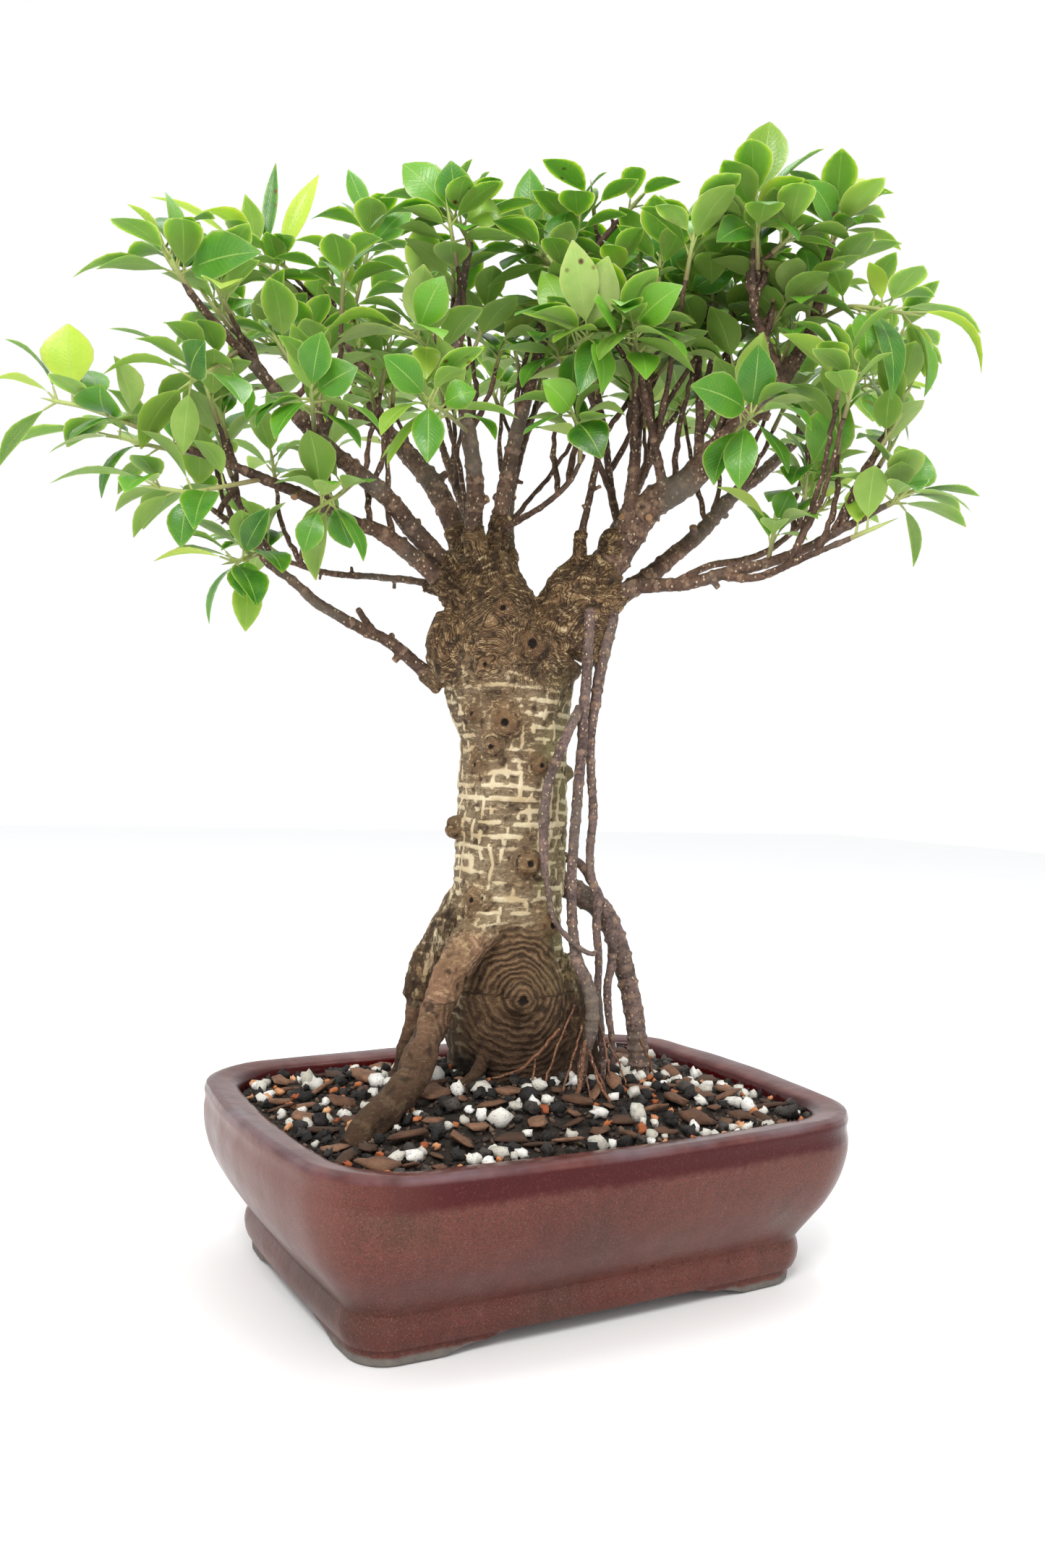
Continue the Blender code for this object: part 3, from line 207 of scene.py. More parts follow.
# Branches: the main limb first, then what forks from it, each as (x, y, z, radius)
BRANCHES = {
    "branch_low_left": [
        [(-53, 20, 309, 5), (-63, 17, 315, 4), (-81, 10, 329, 3.3), (-93, 4, 334, 3.2),
         (-106, -4, 340, 3), (-119, -10, 347, 2.8), (-131, -16, 357, 2.5), (-143, -20, 365, 2.2),
         (-151, -24, 376, 2), (-171, -28, 390, 1.4)],
        [(-89, 6, 333, 2.4), (-95, 8, 340, 2), (-100, 9, 347, 1.6)],
    ],
    "branch_left_mid": [
        [(-41, 14, 348, 6), (-58, 4, 365, 5), (-74, -6, 377, 4.4), (-88, -14, 385, 4),
         (-102, -22, 388, 3.6), (-119, -32, 396, 3.2), (-142, -44, 403, 2.6), (-168, -54, 411, 2),
         (-183, -60, 414, 1.6)],
    ],
    "branch_left_thin": [
        [(-44, 30, 358, 3), (-67, 36, 366, 2.2), (-93, 42, 369, 2), (-122, 48, 371, 1.8),
         (-152, 54, 379, 1.4)],
    ],
    "branch_left_rise": [
        [(-41, 20, 359, 7), (-57, 10, 376, 5.6), (-70, 0, 388, 5.2), (-83, -12, 402, 4.8),
         (-97, -22, 412, 4.4), (-118, -36, 427, 3.8), (-135, -48, 444, 3.2), (-153, -58, 462, 2.4),
         (-171, -66, 480, 1.9), (-178, -70, 489, 1.5)],
    ],
    "branch_left_crown": [
        [(-37, 34, 369, 7.5), (-50, 38, 397, 6.4), (-63, 42, 421, 6), (-81, 48, 442, 5.2),
         (-97, 54, 460, 4.4), (-107, 60, 486, 3.6), (-119, 66, 509, 3), (-136, 72, 528, 2.4),
         (-154, 76, 543, 1.8)],
        [(-92, 52, 456, 3.4), (-116, 66, 468, 3), (-138, 80, 485, 2.5), (-160, 92, 507, 2)],
    ],
    "branch_upright_left": [
        [(-35, 20, 371, 6.4), (-39, 14, 395, 5), (-39, 8, 417, 4.6), (-43, 2, 441, 4.2),
         (-48, -6, 466, 3.4), (-51, -12, 494, 2.8), (-48, -16, 516, 2.2), (-45, -20, 534, 1.8)],
    ],
    "branch_upright_centre": [
        [(-28, 28, 372, 6), (-25, 30, 404, 4.8), (-21, 32, 433, 4.4), (-17, 32, 455, 4),
         (-11, 30, 479, 3.6), (-4, 26, 506, 3), (4, 22, 530, 2.4), (19, 18, 547, 2), (37, 14, 567, 1.7)],
        [(-23, 24, 396, 2.4), (-12, 6, 399, 1.8), (0, -4, 405, 1.6), (11, -12, 415, 1.5),
         (18, -18, 428, 1.2)],
    ],
    "branch_right_main": [
        [(21, 22, 359, 12), (35, 20, 377, 10), (45, 16, 393, 9), (57, 10, 410, 8.4), (74, 2, 420, 7.4),
         (86, -6, 434, 6.6), (96, -10, 444, 6), (110, -14, 459, 5.4), (122, -18, 476, 4.6),
         (132, -22, 494, 3.6), (136, -26, 516, 2.8), (139, -30, 537, 2)],
        [(44, 10, 394, 4.4), (45, 4, 416, 3.4), (46, 0, 437, 3.1), (43, -2, 461, 2.7)],
        [(43, 20, 392, 3), (38, 28, 410, 2.4), (35, 34, 428, 2.2), (32, 40, 452, 1.9), (26, 46, 486, 1.4)],
        [(63, 6, 415, 3.2), (57, -6, 431, 2.4), (52, -16, 446, 2), (44, -26, 472, 1.4)],
        [(80, 0, 428, 3.4), (81, 10, 451, 2.6), (81, 16, 477, 2), (78, 20, 497, 1.6)],
        [(95, -8, 444, 3.8), (92, -2, 465, 3), (87, 6, 486, 2.5), (79, 14, 509, 2)],
        [(119, -18, 471, 3.4), (107, -30, 486, 2.6), (99, -38, 502, 2.2), (97, -44, 527, 1.7)],
    ],
    "branch_right_rise": [
        [(27, 30, 350, 8), (42, 36, 362, 6), (58, 42, 374, 5.2), (73, 48, 388, 4.8), (91, 54, 405, 4.4),
         (108, 60, 426, 4), (128, 66, 444, 3.6), (148, 72, 465, 3.1), (167, 78, 485, 2.6),
         (194, 86, 515, 1.8)],
    ],
    "branch_right_low": [
        [(31, 12, 354, 6), (44, 4, 362, 4.4), (60, -4, 364, 3.8), (75, -12, 364, 3.4),
         (93, -22, 369, 3.1), (111, -30, 373, 2.8), (128, -40, 379, 2.5), (150, -54, 391, 2),
         (164, -60, 399, 1.6)],
        [(89, -20, 368, 2.4), (106, -36, 365, 2.1), (126, -50, 373, 1.8), (147, -62, 382, 1.4)],
        [(69, -8, 365, 2.2), (88, 0, 376, 2), (105, 4, 380, 1.9), (121, 6, 387, 1.7), (142, 4, 405, 1.3)],
    ],
    "branch_right_twig": [
        [(17, 16, 368, 3), (20, 12, 394, 2.1), (24, 8, 418, 1.9), (27, 4, 441, 1.7), (24, 2, 467, 1.3)],
    ],
    "branch_back_left": [
        [(-22, 32, 362, 5.5), (-36, 62, 390, 4.2), (-50, 92, 424, 3.2), (-62, 116, 455, 2.4),
         (-71, 134, 482, 1.6)],
    ],
    "branch_back_right": [
        [(22, 34, 360, 5.5), (34, 64, 390, 4.2), (50, 92, 424, 3.2), (64, 114, 456, 2.4),
         (75, 128, 484, 1.6)],
    ],
    "branch_back_middle": [
        [(-14, 44, 352, 5.5), (-20, 72, 390, 4), (-21, 94, 426, 3), (-15, 108, 460, 2.2),
         (-6, 116, 492, 1.6)],
    ],
}

# Leafy shoots: stem points, leaves given one by one as (share along the stem, tip, width, lift, facing),
# and how many more leaves fill the stem
SHOOTS = {
    "shoot_far_left": ([(-180, -59, 413), (-202, -64, 422), (-222, -68, 428), (-236, -70, 430)], [
        (1, (-264, -76, 440), 15, 4, UP),
        (0.8, (-231, -74, 466), 26, 1, FRONT),
        (0.5, (-229, -50, 453), 15, 5, UP),
        (0.35, (-211, -84, 435), 25, 3, FRONT),
    ], 2),
    "shoot_low_left_outer": ([(-167, -54, 411), (-192, -44, 416), (-216, -38, 422)], [
        (1, (-274, -46, 397), 16, 8, UP),
        (0.45, (-217, -60, 387), 17, 9, UP),
        (0.7, (-247, -8, 438), 16, 5, UP),
    ], 2),
    "shoot_low_left_inner": ([(-142, -44, 403), (-158, -56, 396), (-173, -64, 391), (-186, -70, 391)], [
        (1, (-236, -78, 391), 14, 7, UP),
        (0.8, (-211, -58, 382), 13, 4, UP),
        (0.55, (-175, -70, 363), 16, 3, FRONT),
    ], 3),
    "shoot_low_left_drop": ([(-147, -23, 370), (-151, -33, 365), (-156, -40, 362)], [
        (1, (-195, -46, 360), 12, 4, UP),
        (0.5, (-167, -44, 330), 14, 5, UP),
        (0.3, (-148, -54, 343), 17, 3, FRONT),
        (0.6, (-138, -52, 387), 14, 2, FRONT),
    ], 2),
    "shoot_left_middle": ([(-153, -58, 462), (-162, -70, 449), (-170, -80, 439)], [
        (0.9, (-208, -92, 438), 15, 7, UP),
        (1, (-160, -104, 450), 20, 2, FRONT),
        (0.5, (-222, -40, 477), 14, 3, UP),
    ], 3),
    "shoot_left_high": ([(-174, -68, 484), (-180, -72, 493), (-183, -74, 498)], [
        (1, (-203, -78, 522), 12, 2, UP),
        (0.6, (-209, -60, 501), 16, 6, UP),
        (0.2, (-228, -80, 487), 13, 7, UP),
        (0.3, (-138, -92, 497), 24, 3, FRONT),
    ], 2),
    "shoot_left_crown_outer": ([(-148, 75, 538), (-165, 72, 550), (-181, 70, 558)], [
        (1, (-236, 66, 590), 14, 5, UP),
        (0.7, (-206, 50, 570), 20, 8, UP),
        (0.5, (-166, 74, 614), 9, 1, FRONT),
        (0.2, (-140, 70, 607), 13, 3, FRONT),
    ], 2),
    "shoot_left_crown_back": ([(-155, 89, 503), (-180, 100, 521), (-198, 108, 533)], [], 7),
    "shoot_left_crown_top": ([(-119, 66, 510), (-113, 60, 534), (-108, 56, 556), (-104, 54, 567)], [
        (1, (-122, 64, 608), 12, 2, FRONT),
        (0.9, (-138, 36, 566), 18, 8, UP),
        (0.7, (-83, 50, 582), 20, 3, FRONT),
    ], 5),
    "shoot_upright_left_top": ([(-45, -19, 529), (-48, -26, 537), (-53, -30, 541)], [
        (1, (-80, -34, 567), 22, 4, FRONT),
        (0.7, (-93, -14, 560), 17, 6, UP),
        (0.85, (-55, -44, 564), 20, 3, FRONT),
        (0.5, (-93, -54, 526), 18, 9, UP),
        (0.6, (-29, -30, 547), 20, 4, FRONT),
    ], 2),
    "shoot_upright_left_front": ([(-48, -6, 466), (-60, -30, 472), (-71, -52, 475)], [
        (1, (-113, -70, 465), 18, 9, UP),
        (0.8, (-55, -66, 499), 20, 4, FRONT),
        (0.6, (-100, -30, 499), 18, 6, UP),
    ], 5),
    "shoot_left_rise_front": ([(-119, -36, 428), (-116, -60, 434), (-114, -78, 436)], [
        (1, (-108, -92, 461), 17, 2, FRONT),
        (0.9, (-92, -84, 448), 20, 2, FRONT),
        (0.8, (-138, -90, 417), 17, 4, UP),
        (0.6, (-97, -60, 430), 16, 4, UP),
    ], 4),
    "shoot_left_rise_low": ([(-97, -22, 411), (-106, -38, 397), (-112, -48, 390)], [
        (1, (-120, -52, 366), 15, 2, FRONT),
        (0.8, (-133, -64, 397), 14, 5, UP),
        (0.6, (-98, -40, 371), 16, 3, FRONT),
    ], 3),
    "shoot_centre_top": ([(5, 22, 532), (-6, 14, 539), (-15, 8, 544)], [
        (1, (-16, 4, 585), 18, 2, FRONT),
        (0.8, (-40, -6, 563), 20, 5, UP),
        (0.7, (12, 10, 571), 20, 4, FRONT),
        (0.5, (20, -10, 548), 18, 6, UP),
    ], 4),
    "shoot_centre_front": ([(-10, 30, 481), (4, 0, 482), (11, -30, 480), (16, -52, 477)], [
        (1, (6, -70, 516), 20, 3, FRONT),
        (0.9, (30, -72, 503), 22, 2, FRONT),
        (0.85, (-20, -76, 488), 24, 6, UP),
        (0.8, (39, -60, 485), 18, 5, UP),
        (0.6, (-8, -30, 518), 20, 4, FRONT),
    ], 4),
    "shoot_centre_cross": ([(16, -17, 424), (15, -28, 435), (11, -38, 442)], [
        (1, (-3, -50, 459), 18, 3, FRONT),
        (0.8, (25, -56, 418), 22, 4, FRONT),
        (0.6, (38, -30, 448), 16, 5, UP),
    ], 3),
    "shoot_left_front_low": ([(-43, 2, 442), (-51, -40, 439), (-59, -76, 436)], [
        (1, (-78, -96, 450), 18, 2, FRONT),
        (0.9, (-33, -100, 455), 16, 6, UP),
        (0.8, (-79, -100, 414), 16, 5, UP),
        (0.6, (-37, -62, 446), 16, 4, FRONT),
    ], 4),
    "shoot_centre_right_front": ([(-4, 26, 507), (15, -16, 494), (31, -56, 477)], [
        (1, (62, -84, 459), 20, 6, UP),
        (0.9, (18, -90, 488), 20, 3, FRONT),
        (0.8, (46, -50, 499), 22, 5, UP),
        (0.7, (6, -70, 458), 18, 4, FRONT),
    ], 4),
    "shoot_right_crown_tip": ([(139, -29, 533), (140, -31, 541), (141, -32, 545)], [
        (1, (167, -38, 562), 15, 4, UP),
        (0.8, (160, -10, 581), 13, 3, FRONT),
        (0.5, (178, -20, 541), 12, 5, UP),
        (0.6, (122, -50, 559), 17, 3, FRONT),
    ], 3),
    "shoot_right_front_top": ([(97, -43, 523), (96, -46, 536), (96, -47, 545)], [
        (1, (102, -50, 588), 23, 1, FRONT),
        (0.7, (140, -22, 580), 12, 3, UP),
        (0.5, (76, -34, 559), 22, 4, FRONT),
        (0.15, (115, -72, 522), 17, 6, UP),
        (0.33, (75, -70, 519), 18, 4, FRONT),
    ], 1),
    "shoot_right_yellow": ([(132, -22, 498), (145, -40, 501), (162, -52, 496), (169, -55, 494)], [
        (1, (207, -66, 463), 19, 11, UP),
        (0.8, (218, -28, 497), 14, 6, UP),
        (0.7, (149, -66, 514), 10, 4, UP),
        (0.2, (161, -74, 446), 16, 12, UP),
        (0.5, (164, -24, 478), 18, 5, UP),
    ], 3),
    "shoot_right_middle": ([(168, 78, 486), (178, 64, 492), (186, 54, 493)], [
        (1, (219, 48, 491), 10, 2, UP),
        (0.8, (206, 44, 459), 14, 4, UP),
        (0.6, (221, 84, 486), 15, 5, UP),
    ], 4),
    "shoot_right_rise_tip": ([(187, 84, 509), (205, 92, 528), (216, 96, 539)], [], 7),
    "shoot_right_big": ([(140, 4, 403), (135, -10, 412), (133, -22, 421)], [
        (1, (149, -34, 457), 26, 2, FRONT),
        (0.6, (114, -24, 422), 14, 3, UP),
        (0.5, (165, 2, 430), 15, 4, UP),
    ], 3),
    "shoot_right_low_tip": ([(163, -59, 398), (167, -62, 400), (170, -64, 403)], [
        (1, (180, -66, 423), 21, 1, FRONT),
        (0.5, (178, -62, 369), 16, 5, UP),
        (0.2, (133, -72, 409), 12, 4, UP),
        (0.6, (207, -40, 403), 15, 4, UP),
    ], 2),
    "shoot_right_inner": ([(81, 12, 504), (73, 6, 515), (64, 0, 522)], [
        (1, (53, -12, 551), 22, 3, FRONT),
        (0.8, (35, -20, 522), 18, 5, UP),
        (0.6, (94, -14, 530), 20, 4, FRONT),
    ], 4),
    "shoot_right_inner_front": ([(96, -10, 444), (97, -40, 442), (96, -62, 439)], [
        (1, (64, -84, 446), 23, 4, FRONT),
        (0.9, (121, -86, 427), 17, 7, UP),
        (0.8, (96, -80, 465), 20, 3, FRONT),
        (0.6, (118, -52, 454), 18, 5, UP),
    ], 3),
    "shoot_right_mid_top": ([(79, 19, 491), (78, 30, 517), (74, 38, 539), (71, 42, 555)], [
        (1, (58, 44, 591), 17, 1, FRONT),
        (0.8, (87, 36, 594), 18, 4, FRONT),
        (0.6, (106, 50, 569), 20, 4, UP),
    ], 4),
    "shoot_right_twig_top": ([(27, 45, 480), (24, 56, 506), (23, 64, 527)], [
        (1, (34, 70, 574), 18, 2, FRONT),
    ], 5),
    "shoot_right_twig_front": ([(45, -24, 468), (41, -40, 477), (38, -54, 481)], [
        (1, (53, -74, 505), 20, 3, FRONT),
        (0.8, (15, -84, 478), 18, 5, UP),
        (0.6, (70, -46, 490), 18, 5, UP),
    ], 3),
    "shoot_back_left": ([(-68, 131, 475), (-76, 140, 492), (-84, 146, 504)], [], 7),
    "shoot_back_right": ([(73, 127, 480), (80, 134, 494), (88, 140, 506)], [], 7),
    "shoot_back_middle": ([(-8, 114, 485), (-4, 119, 504), (0, 122, 520)], [], 7),
    "shoot_left_thin_tip": ([(-146, 53, 379), (-157, 56, 385), (-163, 60, 393)], [], 3),
    "shoot_right_low_middle": ([(113, -31, 374), (114, -36, 385), (114, -38, 392)], [
        (1, (116, -40, 410), 14, 1, FRONT),
        (0.5, (133, -30, 386), 10, 2, UP),
    ], 1),
}

# Listed leaves, by their order on the shoot, that are young and yellow-green
YOUNG_LEAVES = {
    "shoot_far_left": (0, 1), "shoot_low_left_drop": (0,), "shoot_left_high": (0,),
    "shoot_left_crown_outer": (0, 1, 3), "shoot_right_crown_tip": (1,), "shoot_right_yellow": (0, 2),
    "shoot_right_middle": (0,),
}
# Listed leaves that show their pale underside to the front
TURNED_LEAVES = {"shoot_centre_front": (0, 1)}

# --------------------------------------------------------------------------- modelling tools


def clear_selection():
    bpy.ops.object.select_all(action="DESELECT")


def make_active(obj):
    """Selects one object and nothing else, for the operators that work on the active one."""
    clear_selection()
    obj.select_set(True)
    bpy.context.view_layer.objects.active = obj


def apply_modifier(obj, kind, **settings):
    """Adds one modifier with its settings and makes its result the mesh."""
    make_active(obj)
    step = obj.modifiers.new(kind.title(), kind)
    for key, value in settings.items():
        setattr(step, key, value)
    bpy.ops.object.modifier_apply(modifier=step.name)


def linked(name, data):
    """A new object in the scene."""
    obj = bpy.data.objects.new(name, data)
    bpy.context.scene.collection.objects.link(obj)
    return obj


def join_all(objects, name):
    """All the objects as one, with one name."""
    clear_selection()
    for obj in objects:
        obj.select_set(True)
    bpy.context.view_layer.objects.active = objects[0]
    if len(objects) > 1:
        bpy.ops.object.join()
    objects[0].name = name
    return objects[0]


def finish_piece(obj, place, finishes=None, stands_for=()):
    """Puts a piece in its place, gives it its finishes and ties it to the pot's body."""
    obj.data.transform(place)
    if finishes:
        obj.data.materials.clear()
        for finish in finishes:
            obj.data.materials.append(finish)
    obj.data.shade_smooth()
    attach(obj, "root")
    if stands_for:
        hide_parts(*stands_for)


def smooth_path(points, spacing):
    """Catmull-Rom samples through (x, y, z, radius) points, about a spacing apart."""
    rows = [Vector(point) for point in points]
    rows = [rows[0] * 2 - rows[1], *rows, rows[-1] * 2 - rows[-2]]
    path = []
    for a, b, c, d in zip(rows, rows[1:], rows[2:], rows[3:]):
        steps = max(1, round((c.xyz - b.xyz).length / spacing))
        for step in range(steps):
            t = step / steps
            row = 0.5 * (2 * b + (c - a) * t + (2 * a - 5 * b + 4 * c - d) * t * t
                         + (3 * b - a - 3 * c + d) * t * t * t)
            path.append(row)
    path.append(rows[-2])
    return path


def solid_from_curve(obj):
    """Turns a curve object into a mesh with its seams welded and its faces turned outward."""
    make_active(obj)
    bpy.ops.object.convert(target="MESH")
    bpy.ops.object.mode_set(mode="EDIT")
    bpy.ops.mesh.select_all(action="SELECT")
    bpy.ops.mesh.remove_doubles(threshold=0.0001)
    bpy.ops.mesh.normals_make_consistent(inside=False)
    bpy.ops.object.mode_set(mode="OBJECT")


def tube(name, path, roundness=3):
    """A closed tapering tube along (x, y, z, radius) rows."""
    curve = bpy.data.curves.new(name, "CURVE")
    curve.dimensions = "3D"
    curve.bevel_depth = 1
    curve.bevel_resolution = roundness
    curve.use_fill_caps = True
    spline = curve.splines.new("POLY")
    spline.points.add(len(path) - 1)
    for knot, row in zip(spline.points, path):
        knot.co = (*row[:3], 1)
        knot.radius = row[3]
    obj = linked(name, curve)
    solid_from_curve(obj)
    return obj


def ball(centre, radius):
    clear_selection()
    bpy.ops.mesh.primitive_ico_sphere_add(subdivisions=3, radius=radius, location=centre)
    obj = bpy.context.object
    bpy.ops.object.transform_apply(location=True, rotation=True, scale=True)
    return obj


def grown_together(parts, name, voxel, easing):
    """Tubes and knots as one skin of wood."""
    body = join_all(parts, name)
    apply_modifier(body, "REMESH", mode="VOXEL", voxel_size=voxel)
    apply_modifier(body, "SMOOTH", factor=0.5, iterations=easing)
    return body


def places_of(mesh, what="co"):
    """Every vertex's place or normal, one row each."""
    rows = np.empty(len(mesh.vertices) * 3, dtype=np.float32)
    mesh.vertices.foreach_get(what, rows)
    return rows.reshape(-1, 3)


def noise_at(places, scale, seed=0.0):
    """Smooth noise from -1 to 1; scale is one size in mm, or three."""
    points = places / np.array(scale, dtype=np.float32) + seed
    return np.array([noise.noise(point) for point in points.tolist()], dtype=np.float32)


def crest(phase, width):
    """A ridge at the middle of each period, width being its half width as a share."""
    return np.clip(1 - np.abs(phase % 1 - 0.5) / width, 0, 1)


def rise(value, low, high):
    """A smooth step from 0 at low to 1 at high."""
    t = np.clip((value - low) / (high - low), 0, 1)
    return t * t * (3 - 2 * t)


def along_paths(places, paths):
    """For every point: the path it is nearest to, the way along that path, and how deep it lies."""
    which = np.zeros(len(places), dtype=np.int32)
    walked = np.zeros(len(places), dtype=np.float32)
    depth = np.full(len(places), 1e9, dtype=np.float32)
    for number, path in enumerate(paths):
        rows = np.array([list(row) for row in path], dtype=np.float32)
        steps = np.linalg.norm(np.diff(rows[:, :3], axis=0), axis=1)
        lengths = np.concatenate([[0], np.cumsum(steps)])
        for row, length in zip(rows, lengths):
            away = np.linalg.norm(places - row[:3], axis=1) - row[3]
            nearer = away < depth
            depth[nearer] = away[nearer]
            walked[nearer] = length
            which[nearer] = number
    return which, walked, depth


def push_out(mesh, amounts):
    """Moves each vertex along its normal by its own amount."""
    moved = places_of(mesh) + places_of(mesh, "normal") * amounts[:, None]
    mesh.vertices.foreach_set("co", moved.reshape(-1))
    mesh.update()


def keep_mask(mesh, name, values):
    """Stores a number on every vertex for the material to read."""
    mask = mesh.attributes.new(name, "FLOAT", "POINT")
    mask.data.foreach_set("value", values.astype(np.float32))


def tree_of(mesh):
    """A search tree of a mesh's faces."""
    corners = [vert.co for vert in mesh.vertices]
    return BVHTree.FromPolygons(corners, [list(face.vertices) for face in mesh.polygons])


# --------------------------------------------------------------------------- finishes


class Finish:
    """A Principled material, with short ways to add and join its nodes."""

    def __init__(self, name):
        self.material = bpy.data.materials.new(name)
        self.material.use_nodes = True
        self.nodes = self.material.node_tree.nodes
        self.links = self.material.node_tree.links
        self.shader = self.nodes["Principled BSDF"]
        self.place = self.nodes.new("ShaderNodeTexCoord").outputs["Object"]

    def give(self, socket, value):
        if isinstance(value, bpy.types.NodeSocket):
            self.links.new(value, socket)
        elif isinstance(value, tuple) and len(value) == 3 and socket.type == "RGBA":
            socket.default_value = (*value, 1)
        else:
            socket.default_value = value

    def add(self, kind, output=0, inputs=None, **settings):
        made = self.nodes.new("ShaderNode" + kind)
        for key, value in settings.items():
            setattr(made, key, value)
        for key, value in (inputs or {}).items():
            self.give(made.inputs[key], value)
        return made.outputs[output]

    def stretched(self, scale, source=None):
        return self.add("Mapping", inputs={"Vector": source or self.place, "Scale": scale})

    def noise(self, scale, detail=4.0, roughness=0.55, source=None, twist=0.0):
        return self.add("TexNoise", inputs={"Vector": source or self.place, "Scale": scale, "Detail": detail,
                                            "Roughness": roughness, "Distortion": twist})

    def cells(self, scale, source=None, output="Distance", feature="F1"):
        return self.add("TexVoronoi", output, {"Vector": source or self.place, "Scale": scale},
                        feature=feature)

    def ramp(self, value, stops):
        """stops: (place, colour) pairs, where a colour may be one number."""
        made = self.nodes.new("ShaderNodeValToRGB")
        self.links.new(value, made.inputs[0])
        points = made.color_ramp.elements
        while len(points) < len(stops):
            points.new(0.5)
        for point, (where, colour) in zip(points, stops):
            point.position = where
            point.color = (colour, colour, colour, 1) if isinstance(colour, (int, float)) else (*colour, 1)
        return made.outputs[0]

    def mix(self, share, first, second, blend="MIX"):
        made = self.nodes.new("ShaderNodeMix")
        made.data_type = "RGBA"
        made.blend_type = blend
        self.give(made.inputs[0], share)
        self.give(made.inputs[6], first)
        self.give(made.inputs[7], second)
        return made.outputs[2]

    def sum(self, operation, first, second=0.5, third=None, clamp=False):
        made = self.nodes.new("ShaderNodeMath")
        made.operation = operation
        made.use_clamp = clamp
        self.give(made.inputs[0], first)
        self.give(made.inputs[1], second)
        if third is not None:
            self.give(made.inputs[2], third)
        return made.outputs[0]

    def off_middle(self, value):
        """How far a value is from the middle of its own whole step, from 0 to a half."""
        return self.sum("ABSOLUTE", self.sum("SUBTRACT", self.sum("FRACT", value), 0.5))

    def mask(self, name):
        return self.add("Attribute", "Fac", attribute_name=name)

    def axis(self, letter, source=None):
        return self.add("SeparateXYZ", letter, {0: source or self.place})

    def span(self, value, low, high):
        """0 at low and 1 at high, clamped and eased."""
        return self.add("MapRange", inputs={"Value": value, "From Min": low, "From Max": high},
                        interpolation_type="SMOOTHSTEP")

    def bump(self, height, strength, distance, under=None):
        made = self.nodes.new("ShaderNodeBump")
        made.inputs["Strength"].default_value = strength
        made.inputs["Distance"].default_value = distance
        self.links.new(height, made.inputs["Height"])
        if under:
            self.links.new(under, made.inputs["Normal"])
        return made.outputs[0]

    def done(self, colour, roughness, normal=None, **constants):
        self.give(self.shader.inputs["Base Color"], colour)
        self.give(self.shader.inputs["Roughness"], roughness)
        if normal:
            self.links.new(normal, self.shader.inputs["Normal"])
        for key, value in constants.items():
            self.shader.inputs[key.replace("_", " ")].default_value = value
        return self.material


